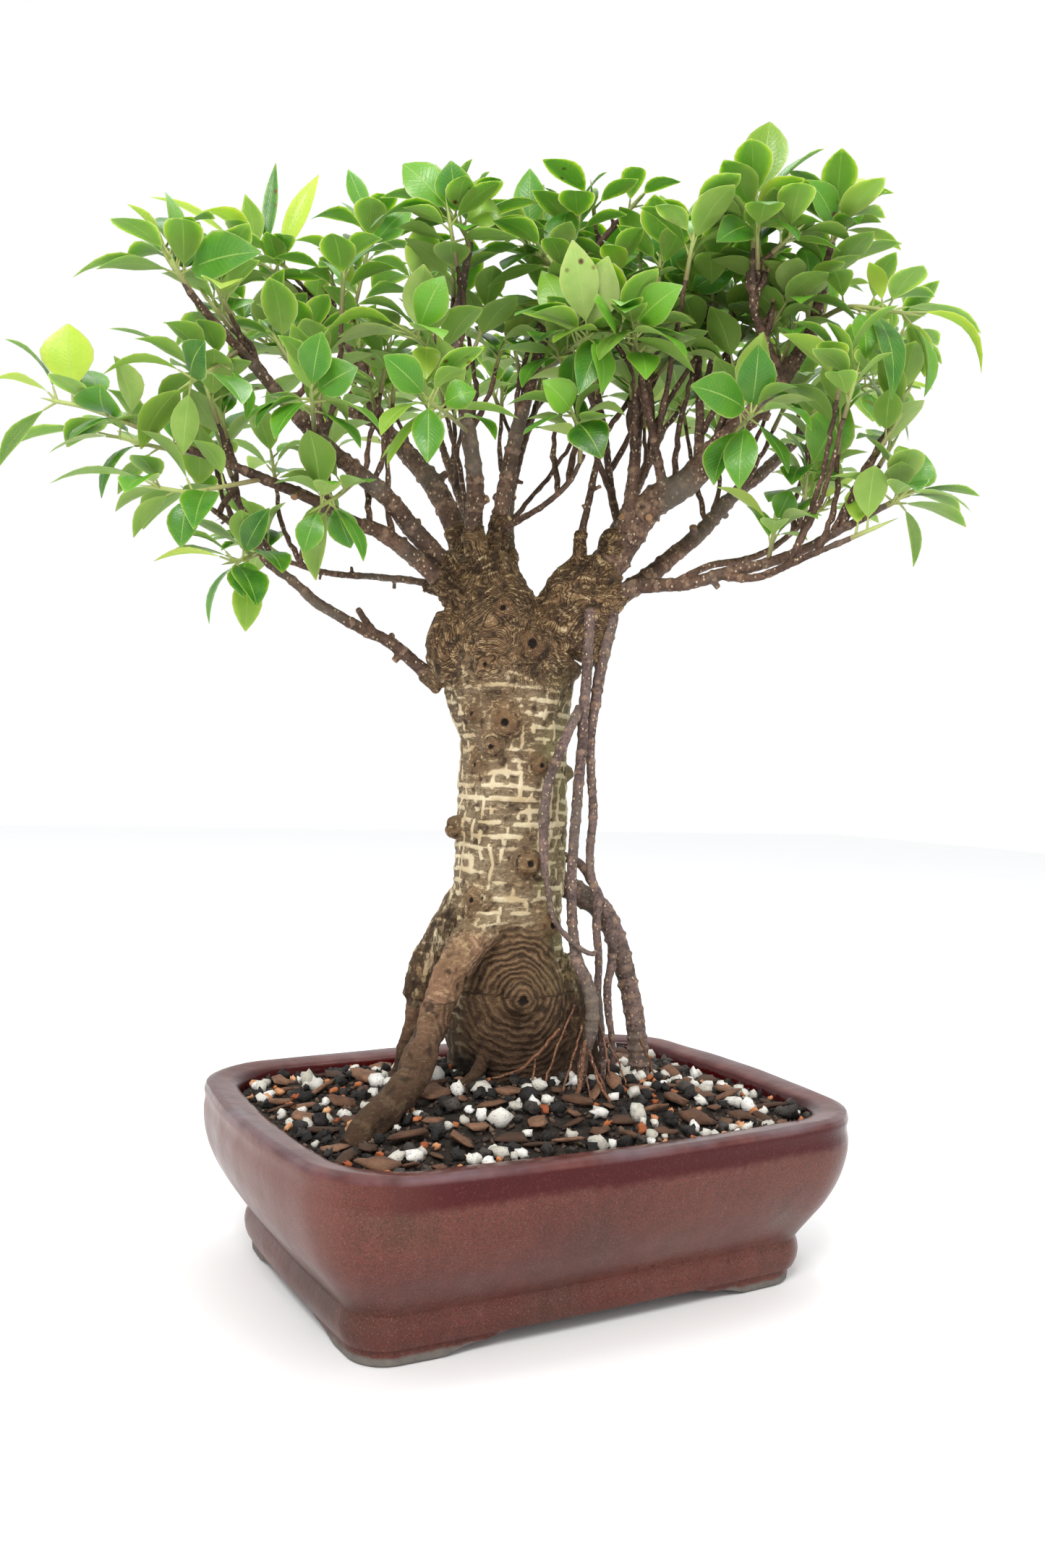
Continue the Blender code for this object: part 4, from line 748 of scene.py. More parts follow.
def glaze_finish():
    """Speckled brown-red glaze, wine red where it runs thick below the rim, bare clay under the feet, and a
    painted bluish highlight along the rim's outer edge.
    """
    it = Finish("pot_glaze")
    height = it.axis("Z")
    along = it.axis("X")
    cloud = it.noise(11, 4, 0.6)
    streaks = it.noise(1, 5, source=it.stretched((150, 150, 14)))
    speckle = it.noise(800, 2, 0.7)
    # the body's glaze: clouds, streaks and speckles, paler at the left end
    body = it.ramp(cloud, [(0.3, (0.06, 0.026, 0.017)), (0.48, (0.095, 0.023, 0.017)),
                           (0.6, (0.12, 0.033, 0.022)), (0.74, (0.062, 0.03, 0.018))])
    body = it.mix(it.ramp(streaks, [(0.45, 0), (0.68, 0.3)]), body, (0.15, 0.05, 0.037))
    body = it.mix(it.ramp(speckle, [(0.5, 0), (0.62, 0.65)]), body, (0.05, 0.02, 0.017))
    body = it.mix(it.ramp(it.noise(1500, 2, 0.7), [(0.56, 0), (0.68, 0.5)]), body, (0.23, 0.12, 0.1))
    pale_end = it.span(along, POT_MIDDLE.x - 0.134, POT_MIDDLE.x - 0.152)
    body = it.mix(it.sum("MULTIPLY", pale_end, 0.4), body, (0.17, 0.075, 0.065))
    # the wine red band, with a ragged lower edge, and the lip above it
    ragged = it.sum("MULTIPLY_ADD", it.noise(220, 5, 0.75), 0.007, height)
    ragged = it.sum("MULTIPLY_ADD", it.noise(14, 2), 0.005, ragged)
    wine = it.sum("MULTIPLY", it.span(ragged, 0.082, 0.087), it.span(height, 0.0915, 0.0893))
    wine = it.sum("MULTIPLY", wine, it.span(along, POT_MIDDLE.x - 0.155, POT_MIDDLE.x - 0.09))
    wine_tone = it.mix(it.ramp(speckle, [(0.54, 0), (0.7, 1)]), (0.05, 0.001, 0.001), (0.09, 0.01, 0.014))
    colour = it.mix(wine, body, wine_tone)
    lip = it.span(height, 0.0886, 0.0902)
    lip_tone = it.ramp(it.noise(70, 4), [(0.35, (0.075, 0.019, 0.016)), (0.65, (0.13, 0.045, 0.04))])
    colour = it.mix(lip, colour, lip_tone)
    # a painted highlight: a bluish grey glint along the rim's outer edge, broken by noise
    edge = it.mask("rim_glint_painted")
    edge = it.sum("MULTIPLY", edge, it.ramp(it.noise(24, 4), [(0.4, 0), (0.66, 0.4)]))
    colour = it.mix(edge, colour, (0.2, 0.18, 0.22))
    inside = it.mask("inside")
    colour = it.mix(inside, colour, (0.05, 0.009, 0.01))
    # dark drips over the plinth, and bare clay where the pot stands
    drips = it.sum("MULTIPLY", it.ramp(it.cells(120), [(0.1, 1), (0.18, 0)]), it.span(height, 0.03, 0.026))
    drips = it.sum("MULTIPLY", drips, it.span(height, 0.018, 0.021))
    drips = it.sum("MULTIPLY", drips, it.ramp(it.noise(30, 2), [(0.48, 0), (0.56, 1)]))
    colour = it.mix(drips, colour, (0.05, 0.006, 0.008))
    clay = it.span(it.sum("MULTIPLY_ADD", it.noise(90, 4), 0.004, height), 0.0078, 0.0056)
    clay_tone = it.mix(it.noise(220, 4), (0.08, 0.07, 0.062), (0.2, 0.18, 0.16))
    colour = it.mix(clay, colour, clay_tone)
    bare = it.mask("underneath")
    colour = it.mix(bare, colour, clay_tone)
    matt = it.sum("MAXIMUM", clay, bare)
    gloss = it.ramp(it.noise(40, 4), [(0.3, 0.24), (0.7, 0.36)])
    gloss = it.mix(wine, gloss, (0.1, 0.1, 0.1))
    gloss = it.mix(lip, gloss, (0.2, 0.2, 0.2))
    gloss = it.mix(matt, gloss, (0.85, 0.85, 0.85))
    relief = it.bump(it.noise(420, 2, 0.6), 0.14, 0.0006)
    relief = it.bump(it.noise(38, 3), 0.2, 0.003, relief)
    return it.done(colour, gloss, relief, Specular_IOR_Level=0.22)


def screen_finish():
    it = Finish("drain_mesh")
    tone = it.mix(it.noise(300, 3), (0.012, 0.013, 0.014), (0.035, 0.036, 0.038))
    return it.done(tone, it.ramp(it.noise(500, 2), [(0.3, 0.45), (0.7, 0.65)]),
                   it.bump(it.noise(900, 2), 0.2, 0.0002))


def grain_finish(name, dark, middle, light, roughness, pits, pit_size, relief):
    """A loose grain: each one takes its own tone, with pits and dust."""
    it = Finish(name)
    tone = it.ramp(it.mask("tint"), [(0.0, dark), (0.5, middle), (1.0, light)])
    tone = it.mix(it.ramp(it.noise(170, 5, 0.65), [(0.4, 0), (0.65, 0.55)]), tone, dark)
    holes = it.ramp(it.cells(pit_size), [(0.12, 1), (0.3, 0)])
    holes = it.sum("MULTIPLY", holes, pits)
    tone = it.mix(holes, tone, tuple(0.25 * part for part in dark))
    height = it.sum("SUBTRACT", it.noise(600, 5, 0.7), holes)
    return it.done(tone, roughness, it.bump(height, relief, 0.0009))


def ground_finish():
    """Dark fibrous compost between the grains."""
    it = Finish("compost")
    tone = it.ramp(it.noise(260, 6, 0.7), [(0.35, (0.008, 0.006, 0.005)), (0.55, (0.03, 0.02, 0.013)),
                                          (0.72, (0.075, 0.045, 0.025))])
    return it.done(tone, 0.9, it.bump(it.noise(420, 6, 0.75), 0.9, 0.002))


def bark_finish():
    """Pale broken ridges over grey-brown bark, brown and swirling above, dark at the foot, with painted
    shade in its low places and a painted shadow in the hollow at its foot.
    """
    it = Finish("trunk_bark")
    height = it.axis("Z")
    fine = it.noise(420, 5, 0.65)
    grit = it.noise(1100, 3, 0.7)
    brown = it.mask("brown")
    # furrows with pale flecks, and the ridges over them
    furrow = it.ramp(it.noise(30, 4, 0.6), [(0.3, (0.12, 0.08, 0.045)), (0.5, (0.22, 0.16, 0.095)),
                                            (0.7, (0.33, 0.26, 0.16))])
    furrow = it.mix(it.ramp(fine, [(0.45, 0), (0.68, 0.8)]), furrow, (0.06, 0.036, 0.018))
    flecks = it.ramp(it.noise(1, 3, 0.7, it.stretched((260, 260, 700))), [(0.55, 0), (0.66, 0.8)])
    pale = it.mix(it.ramp(it.noise(60, 4), [(0.35, 0), (0.65, 1)]), (0.5, 0.38, 0.22), (0.76, 0.66, 0.46))
    edge = it.sum("MULTIPLY_ADD", it.sum("SUBTRACT", fine, 0.5), 1.2, it.mask("ridge"))
    ridge = it.span(edge, 0.2, 0.6)
    brown_low = it.ramp(it.noise(75, 6, 0.7), [(0.3, (0.03, 0.014, 0.007)), (0.5, (0.12, 0.065, 0.03)),
                                              (0.7, (0.26, 0.155, 0.075))])
    brown_high = it.ramp(it.noise(110, 4, 0.6), [(0.35, (0.26, 0.15, 0.07)), (0.5, (0.4, 0.27, 0.14)),
                                                (0.68, (0.62, 0.5, 0.3))])
    low = it.mix(brown, furrow, brown_low)
    low = it.mix(flecks, low, it.mix(brown, (0.5, 0.4, 0.25), (0.4, 0.27, 0.14)))
    colour = it.mix(ridge, low, it.mix(brown, pale, brown_high))
    # dark swirling creases above, then the lichen on the right
    swirl = it.sum("MULTIPLY_ADD", it.noise(34, 3, 0.5, twist=1.2), 26, it.sum("MULTIPLY", height, 90))
    swirl = it.sum("MULTIPLY", it.ramp(it.off_middle(swirl), [(0.05, 1), (0.2, 0)]), it.mask("upper"))
    colour = it.mix(it.sum("MULTIPLY", swirl, 0.8), colour, (0.03, 0.014, 0.007))
    green = it.sum("MULTIPLY", it.mask("lichen"), it.ramp(it.noise(45, 5), [(0.36, 0.1), (0.6, 0.65)]))
    colour = it.mix(green, colour, it.mix(ridge, (0.22, 0.2, 0.08), (0.56, 0.54, 0.32)))
    # ringed bark on the roots, and pale dots on the brown bark
    rooty = it.sum("MULTIPLY", it.mask("root"), it.ramp(it.noise(28, 4), [(0.35, 0.35), (0.6, 0.9)]))
    steps = it.sum("MULTIPLY_ADD", it.noise(45, 3), 2.2, it.sum("MULTIPLY", it.mask("walked"), 0.3))
    rings = it.ramp(it.off_middle(steps), [(0.05, 1), (0.15, 0)])
    rings = it.sum("MULTIPLY", rings, it.ramp(it.noise(110, 3), [(0.4, 0.1), (0.56, 1)]))
    root_tone = it.mix(rings, it.mix(fine, (0.15, 0.07, 0.038), (0.36, 0.2, 0.12)), (0.48, 0.31, 0.19))
    colour = it.mix(rooty, colour, root_tone)
    dots = it.ramp(it.cells(360), [(0.1, 1), (0.2, 0)])
    dots = it.sum("MULTIPLY", dots, it.ramp(it.noise(70, 2), [(0.48, 0), (0.58, 0.8)]))
    colour = it.mix(it.sum("MULTIPLY", dots, brown), colour, (0.58, 0.44, 0.27))
    # rings of the swollen foot
    turns = it.sum("MULTIPLY_ADD", it.noise(32, 5, 0.6), 4.2, it.sum("MULTIPLY", it.mask("from_boss"), 15))
    turns = it.sum("MULTIPLY_ADD", it.sum("SUBTRACT", fine, 0.5), 0.3, it.off_middle(turns))
    lined = it.ramp(turns, [(0.04, (0.03, 0.016, 0.009)), (0.15, (0.1, 0.054, 0.028)),
                            (0.38, (0.17, 0.1, 0.052)), (0.52, (0.33, 0.22, 0.12))])
    swollen = it.sum("MULTIPLY", it.mask("boss"), it.ramp(it.noise(60, 4), [(0.36, 0.3), (0.56, 0.9)]))
    colour = it.mix(swollen, colour, lined)
    # long creases on the buttresses, a dark foot, and painted shade in the bark's low places
    creases = it.noise(1, 4, 0.6, it.stretched((170, 170, 48)))
    creases = it.ramp(creases, [(0.42, 0), (0.48, 1), (0.53, 1), (0.58, 0)])
    creases = it.sum("MULTIPLY", creases, it.mask("flank"))
    colour = it.mix(it.sum("MULTIPLY", creases, 0.8), colour, (0.035, 0.02, 0.011))
    foot = it.span(height, 0.165, 0.1)
    colour = it.mix(it.sum("MULTIPLY", foot, 0.85), colour,
                    it.mix(fine, (0.005, 0.003, 0.002), (0.085, 0.042, 0.022)))
    # painted shade: the lower a point of the bark lies, the darker it is made
    painted_low_shade = it.ramp(it.mask("raised"), [(0.12, 0.85), (0.42, 0)])
    colour = it.mix(painted_low_shade, colour, (0.03, 0.016, 0.009))
    # tan edges of the healed knots, then what is darkest: their middles, and the painted shadow in the
    # hollow at the foot
    tan = it.sum("MULTIPLY", it.mask("orange"), it.ramp(it.noise(160, 4), [(0.4, 0.1), (0.62, 0.9)]))
    colour = it.mix(tan, colour, it.mix(grit, (0.24, 0.125, 0.055), (0.09, 0.045, 0.022)))
    knot_pits_and_shadow = it.sum("MULTIPLY_ADD", it.sum("SUBTRACT", fine, 0.5), 0.9, it.mask("dark"))
    colour = it.mix(it.span(knot_pits_and_shadow, 0.3, 0.75), colour, (0.012, 0.007, 0.004))
    height_map = it.sum("MULTIPLY_ADD", grit, 0.5, fine)
    height_map = it.sum("SUBTRACT", height_map, it.sum("MAXIMUM", swirl, creases))
    height_map = it.sum("MULTIPLY_ADD", it.sum("MULTIPLY", it.mask("boss"), turns), 2.5, height_map)
    relief = it.bump(height_map, 0.85, 0.0013)
    return it.done(colour, it.ramp(fine, [(0.3, 0.62), (0.7, 0.9)]), relief, Specular_IOR_Level=0.25)


def twig_finish(name, deep, mid, dot_size):
    """Smooth bark with pale breathing pores and raised rings."""
    it = Finish(name)
    light = tuple(1.6 * part for part in mid)
    tone = it.ramp(it.noise(70, 5, 0.65), [(0.32, deep), (0.55, mid), (0.75, light)])
    tone = it.mix(it.ramp(it.noise(600, 3, 0.7), [(0.48, 0), (0.66, 0.75)]), tone,
                  tuple(0.35 * part for part in deep))
    dots = it.ramp(it.cells(dot_size, it.stretched((1, 1, 0.75))), [(0.16, 1), (0.27, 0)])
    dots = it.sum("MULTIPLY", dots, it.ramp(it.noise(90, 3), [(0.36, 0), (0.5, 0.95)]))
    tone = it.mix(dots, tone, (0.52, 0.4, 0.27))
    rings = it.sum("MULTIPLY", it.mask("ridge"), it.ramp(it.noise(260, 3), [(0.4, 0), (0.6, 0.5)]))
    tone = it.mix(rings, tone, (0.36, 0.23, 0.15))
    grey = it.sum("MULTIPLY", it.ramp(it.noise(24, 3), [(0.45, 0), (0.6, 0.6)]), it.mask("grey"))
    tone = it.mix(grey, tone, (0.13, 0.115, 0.09))
    tone = it.mix(it.mask("cut"), tone, (0.3, 0.17, 0.085))
    relief = it.bump(it.sum("ADD", it.noise(700, 4), dots), 0.6, 0.0007)
    gloss = it.ramp(it.noise(300, 2), [(0.3, 0.5), (0.7, 0.78)])
    return it.done(tone, gloss, relief, Specular_IOR_Level=0.25)


def leaf_finish(name, underside):
    """A waxy blade: pale midrib, a painted highlight along the margin, fine side veins, some leaves young
    and yellow-green.
    """
    it = Finish(name)
    chart = it.nodes.new("ShaderNodeUVMap").outputs[0]
    across = it.sum("ABSOLUTE", it.sum("MULTIPLY_ADD", it.axis("X", chart), 2, -1))
    along = it.axis("Y", chart)
    tint = it.mask("tint")
    young = it.mask("young")
    # the blade's green, by leaf, with cloudy patches
    if underside:
        blade = it.ramp(tint, [(0, (0.15, 0.26, 0.04)), (0.5, (0.24, 0.37, 0.075)), (1, (0.36, 0.45, 0.15))])
    else:
        blade = it.ramp(tint, [(0, (0.012, 0.075, 0.006)), (0.3, (0.035, 0.15, 0.012)),
                               (0.65, (0.085, 0.26, 0.02)), (1, (0.17, 0.38, 0.035))])
    patch = it.ramp(it.noise(95, 3), [(0.35, 0), (0.7, 0.4)])
    blade = it.mix(patch, blade, (0.13, 0.27, 0.022))
    # side veins, then the tone of young leaves, the pale midrib, the painted highlight on the margin and odd
    # brown spots
    slant = it.sum("MULTIPLY_ADD", across, -3.2, it.sum("MULTIPLY", along, 15))
    veins = it.ramp(it.off_middle(slant), [(0, 1), (0.1, 0)])
    veins = it.sum("MULTIPLY", veins, it.span(across, 0.95, 0.5))
    blade = it.mix(it.sum("MULTIPLY", veins, 0.22), blade, (0.24, 0.42, 0.06))
    yellow = it.mix(it.noise(60, 3), (0.34, 0.5, 0.03), (0.6, 0.7, 0.1))
    blade = it.mix(young, blade, yellow)
    # painted highlight: the margin is made paler where the thin edge would catch light; the midrib's
    # paleness is its own colour
    margin_highlight_painted = it.span(across, 0.9, 0.99)
    rib = it.span(across, 0.055, 0.015)
    pale = it.sum("MAXIMUM", it.sum("MULTIPLY", margin_highlight_painted, 0.45), it.sum("MULTIPLY", rib, 0.5))
    blade = it.mix(pale, blade, (0.36, 0.5, 0.12))
    spots = it.sum("MULTIPLY", it.ramp(it.cells(120), [(0.1, 1), (0.22, 0)]), it.mask("spots"))
    blade = it.mix(spots, blade, (0.1, 0.035, 0.012))
    height = it.sum("ADD", it.sum("MULTIPLY", veins, 0.4), it.noise(500, 2))
    relief = it.bump(it.sum("SUBTRACT", height, rib), 0.25, 0.0006)
    gloss = 0.55 if underside else it.ramp(it.noise(130, 3), [(0.3, 0.26), (0.7, 0.42)])
    return it.done(blade, gloss, relief, Specular_IOR_Level=0.3 if underside else 0.35,
                   Subsurface_Weight=0.35, Subsurface_Scale=0.002, Subsurface_Radius=(0.6, 1, 0.15))


def stalk_finish():
    """Green stalks and shoot tips, browner with age."""
    it = Finish("green_stalk")
    tone = it.mix(it.noise(80, 3), (0.27, 0.36, 0.07), (0.45, 0.5, 0.17))
    tone = it.mix(it.mask("woody"), tone, it.mix(it.noise(200, 4), (0.14, 0.085, 0.045), (0.26, 0.19, 0.09)))
    tone = it.mix(it.ramp(it.cells(520), [(0.1, 0.5), (0.2, 0)]), tone, (0.5, 0.42, 0.25))
    return it.done(tone, 0.45, it.bump(it.noise(800, 3), 0.3, 0.0003))


# --------------------------------------------------------------------------- pot and soil


def outline(inset, height, corner, bow, arc_steps=9, side_steps=14):
    """One level of the pot: a rectangle with round corners and slightly bowed sides."""
    half_x = POT_LENGTH / 2 - inset
    half_y = POT_WIDTH / 2 - inset
    points = []
    for quarter, (side_x, side_y) in enumerate([(1, 1), (-1, 1), (-1, -1), (1, -1)]):
        centre = Vector((side_x * (half_x - corner), side_y * (half_y - corner)))
        for step in range(arc_steps + 1):
            angle = (quarter + step / arc_steps) * math.pi / 2
            points.append(centre + corner * Vector((math.cos(angle), math.sin(angle))))
        across = quarter % 2 == 0
        run = half_x - corner if across else half_y - corner
        for step in range(1, side_steps):
            s = 1 - 2 * step / side_steps
            out = (half_y if across else half_x) + bow * (1 - s * s)
            points.append(Vector((side_x * s * run, side_y * out)) if across
                          else Vector((side_x * out, side_y * s * run)))
    return [Vector((point.x, point.y, height)) for point in points]


def loft(rings, name):
    """Skin between level outlines, with both ends closed."""
    bm = bmesh.new()
    rows = [[bm.verts.new(point) for point in ring] for ring in rings]
    count = len(rows[0])
    for low, high in zip(rows, rows[1:]):
        for i in range(count):
            j = (i + 1) % count
            bm.faces.new((low[i], low[j], high[j], high[i]))
    bm.faces.new(rows[0])
    bm.faces.new(rows[-1])
    bmesh.ops.recalc_face_normals(bm, faces=bm.faces)
    mesh = bpy.data.meshes.new(name)
    bm.to_mesh(mesh)
    bm.free()
    return linked(name, mesh)


def cut_away(obj, cutter):
    """Takes the cutter's shape out of a piece and removes the cutter."""
    apply_modifier(obj, "BOOLEAN", operation="DIFFERENCE", object=cutter, solver="EXACT")
    bpy.data.objects.remove(cutter, do_unlink=True)


def arch_cutter(half_span, turn):
    """The opening between two feet, right through the pot, with its cloud-shaped shoulders."""
    top = FOOT_HEIGHT + 0.3
    shoulder = [(38, -1), (33, 1.2), (25, 3.6), (19, 5), (13, 5.4), (6, 6.8), (0, top)]
    right = [(half_span + x, z) for x, z in shoulder]
    left = [(-x, z) for x, z in reversed(right)]
    curve = bpy.data.curves.new("arch", "CURVE")
    curve.dimensions = "2D"
    curve.fill_mode = "BOTH"
    curve.extrude = POT_LENGTH
    spline = curve.splines.new("POLY")
    spline.points.add(len(right + left) - 1)
    for knot, (x, z) in zip(spline.points, right + left):
        knot.co = (x, z, 0, 1)
    spline.use_cyclic_u = True
    arch = linked("arch", curve)
    solid_from_curve(arch)
    arch.data.transform(Matrix.Rotation(turn, 4, "Z") @ Matrix.Rotation(math.pi / 2, 4, "X"))
    return arch


def rim_inset(places):
    """How far each point stands in from the rim's outline, mm."""
    half = np.array([POT_LENGTH / 2 - RIM_CORNER, POT_WIDTH / 2 - RIM_CORNER])
    over = np.abs(places[:, :2]) - half
    outside = np.linalg.norm(np.maximum(over, 0), axis=1)
    return RIM_CORNER - outside - np.minimum(np.maximum(over[:, 0], over[:, 1]), 0)


def make_pot():
    """The pot's skin. Its foot and its floor keep their edges, and the section between them is smoothed."""
    wall = smooth_path(POT_SECTION[WALL_START:FLOOR_START], 2.6)
    levels = [*POT_SECTION[:WALL_START], *wall, *POT_SECTION[FLOOR_START:]]
    pot = loft([outline(*level) for level in levels], "pot_glazed")
    cut_away(pot, arch_cutter(52, 0))
    cut_away(pot, arch_cutter(22, math.pi / 2))
    for x in (-HOLE_X, HOLE_X):
        clear_selection()
        bpy.ops.mesh.primitive_cylinder_add(vertices=32, radius=HOLE_RADIUS, depth=30,
                                            location=(x, 0, FLOOR_TOP))
        drill = bpy.context.object
        bpy.ops.object.transform_apply(location=True, rotation=True, scale=True)
        cut_away(pot, drill)
    places = places_of(pot.data)
    normals = places_of(pot.data, "normal")
    inset = rim_inset(places)
    lumps = noise_at(places, 26) * 0.35 + noise_at(places, 7) * 0.08
    push_out(pot.data, lumps * rise(places[:, 2], 10, 16))
    inward = -(normals * places * (1, 1, 0)).sum(axis=1) / np.linalg.norm(places[:, :2], axis=1)
    keep_mask(pot.data, "inside", rise(inset, LIP_WIDTH - 4, LIP_WIDTH - 1) * rise(inward, -0.35, 0.2)
              * rise(places[:, 2], 16, 17))
    keep_mask(pot.data, "underneath", rise(-normals[:, 2], 0.75, 0.95) * rise(-places[:, 2], -20, -14))
    # where the rim's outer edge lies, for the glaze's painted highlight
    keep_mask(pot.data, "rim_glint_painted", rise(places[:, 2], 89.4, 91) * rise(-inset, -4.6, -2.6))
    finish_piece(pot, POT_PLACE, [glaze_finish()], ["pot"])
    pot.data.set_sharp_from_angle(angle=math.radians(40))


def finish_screens():
    finish = screen_finish()
    for name in ("drain_screen_left", "drain_screen_right"):
        for slot in frame["nodes"][name].material_slots:
            slot.material = finish


def heap_surface():
    """The compost: it fills the pot and rises to the trunk."""
    inside = [level for level in reversed(POT_SECTION) if level[1] <= SOIL_EDGE][:6]
    rings = [outline(inset + 0.6, max(height, FLOOR_TOP + 0.8), corner, bow)
             for inset, height, corner, bow in inside]
    middle = Matrix.Rotation(TREE_TURN, 3, "Z") @ Vector((*SOIL_CENTRE, SOIL_CROWN))
    rim = rings[-1]
    for step in range(1, 24):
        share = 1 - step / 24
        climb = float(rise(1 - share, 0.04, 0.76))
        rings.append([middle.xy.to_3d() + (point - middle).xy.to_3d() * share
                      + UP * (point.z + (middle.z - point.z) * climb) for point in rim])
    heap = loft(rings, "soil_compost")
    places = places_of(heap.data)
    rough = noise_at(places, 9) * 1.6 + noise_at(places, 3.5) * 0.8
    push_out(heap.data, rough * rise(places[:, 2], 80, 84) * rise(rim_inset(places), 18, 24) - 0.6)
    return heap


def grain_mould(size, angular, seed):
    """One loose grain about 1 mm across, from a rounded cube."""
    clear_selection()
    bpy.ops.mesh.primitive_cube_add(size=1)
    obj = bpy.context.object
    obj.dimensions = size
    bpy.ops.object.transform_apply(location=True, rotation=True, scale=True)
    apply_modifier(obj, "SUBSURF", levels=1, render_levels=1)
    places = places_of(obj.data)
    away = places / np.linalg.norm(places, axis=1)[:, None]
    bumps = noise_at(away, 0.55, seed * 3.1) * angular + noise_at(away, 0.25, seed) * angular * 0.6
    obj.data.vertices.foreach_set("co", (places * (1.2 + bumps[:, None])).reshape(-1))
    mould = obj.data
    bpy.data.objects.remove(obj, do_unlink=True)
    return mould


GRAINS = {
    # name: (how many, least and most size mm, proportions, angularity, sunk share)
    "soil_bark_chips": (120, (10, 31), (1, 0.5, 0.16), 0.75, -0.12),
    "soil_pumice": (185, (3.8, 13.5), (1, 0.82, 0.68), 0.85, 0.15),
    "soil_lava": (430, (4, 12), (1, 0.85, 0.7), 1.25, 0.05),
    "soil_clay": (190, (3.2, 9.5), (1, 0.75, 0.62), 1.1, 0.1),
    "soil_pebbles": (40, (6, 11), (1, 0.75, 0.5), 0.35, 0.05),
    "soil_crumbs": (2600, (1.6, 4.4), (1, 0.8, 0.55), 1.1, 0.1),
}
# Where grains are thrown, the share of its size that a grain keeps free round it, and the size, mm,
# below which a kind may lie under and on the others
THROW_X = 136
THROW_Y = 96
THROW_HEIGHT = 150
GRAIN_REACH = 0.36
SMALL_GRAIN = 4.5


def grain_finishes():
    return {
        "soil_bark_chips": grain_finish("chip_bark", (0.045, 0.02, 0.01), (0.15, 0.068, 0.035),
                                        (0.27, 0.14, 0.08), 0.85, 0.25, 260, 0.7),
        "soil_pumice": grain_finish("pumice", (0.5, 0.47, 0.4), (0.78, 0.76, 0.7), (0.93, 0.92, 0.9),
                                    0.85, 0.5, 620, 0.55),
        "soil_lava": grain_finish("lava", (0.008, 0.007, 0.006), (0.024, 0.02, 0.018),
                                  (0.08, 0.066, 0.056), 0.75, 0.6, 480, 1.0),
        "soil_clay": grain_finish("fired_clay", (0.3, 0.07, 0.02), (0.58, 0.2, 0.07),
                                  (0.8, 0.46, 0.24), 0.85, 0.2, 500, 0.5),
        "soil_pebbles": grain_finish("pebble", (0.2, 0.13, 0.08), (0.33, 0.25, 0.16),
                                     (0.45, 0.42, 0.35), 0.55, 0.1, 400, 0.3),
        "soil_crumbs": grain_finish("crumb", (0.01, 0.007, 0.006), (0.045, 0.026, 0.018),
                                    (0.2, 0.13, 0.09), 0.9, 0.3, 500, 0.8),
    }


def is_crowded(x, y, reach, taken):
    """True where a grain would come too near to a large one that lies there already."""
    rows = np.array(taken)
    return (np.hypot(rows[:, 0] - x, rows[:, 1] - y) - rows[:, 2]).min() < reach


def thrown_grains(kind, chance, ground, wood, taken):
    """All the grains of one kind as one mesh, clear of the lip, the wood and the other large grains."""
    count, (least, most), shape, angular, sunk = GRAINS[kind]
    small = most < SMALL_GRAIN
    moulds = [grain_mould(shape, angular, seed) for seed in range(1, 6)]
    bm = bmesh.new()
    tint = bm.verts.layers.float.new("tint")
    made = 0
    for _ in range(count * 5):
        if made == count:
            break
        size = chance.triangular(least, most, least + (most - least) * 0.3)
        x = chance.uniform(-THROW_X, THROW_X)
        y = chance.uniform(-THROW_Y, THROW_Y)
        turn = chance.uniform(0, 2 * math.pi)
        tilt = chance.gauss(0, 0.25 if shape[2] < 0.3 else 0.8)
        tone = chance.random()
        mould = chance.choice(moulds)
        if rim_inset(np.array([[x, y, 0]]))[0] < LIP_WIDTH + 1.8 + size * (0.3 if small else 0.42):
            continue
        reach = size * GRAIN_REACH
        if not small and taken and is_crowded(x, y, reach, taken):
            continue
        hit = ground.ray_cast(Vector((x, y, THROW_HEIGHT)), -UP)[0]
        if hit is None:
            continue
        spot = POT_PLACE @ hit
        if any(tree.find_nearest(spot, size * 0.45 * MM)[0] for tree in wood):
            continue
        if not small:
            taken.append((x, y, reach))
        lift = size * shape[2] * (0.5 - sunk) + (0 if small else chance.uniform(0, 1.5))
        turned = Euler((tilt, tilt * 0.7, turn)).to_matrix().to_4x4()
        place = Matrix.Translation(hit + UP * lift) @ turned @ Matrix.Scale(size, 4)
        known = len(bm.verts)
        bm.from_mesh(mould)
        bm.verts.ensure_lookup_table()
        for vert in bm.verts[known:]:
            vert.co = place @ vert.co
            vert[tint] = tone
        made += 1
    mesh = bpy.data.meshes.new(kind)
    bm.to_mesh(mesh)
    bm.free()
    return mesh


def make_soil():
    """Compost, and loose grains of every kind thrown on it."""
    chance = random.Random(11)
    heap = heap_surface()
    ground = tree_of(heap.data)
    wood = [tree_of(bpy.data.objects[name].data) for name in ("trunk_wood", "aerial_root_prop_wood")]
    finish_piece(heap, POT_PLACE, [ground_finish()], ["soil_bed"])
    taken = []
    finishes = grain_finishes()
    for kind in GRAINS:
        grains = thrown_grains(kind, chance, ground, wood, taken)
        finish_piece(linked(kind, grains), POT_PLACE, [finishes[kind]])


# --------------------------------------------------------------------------- wood


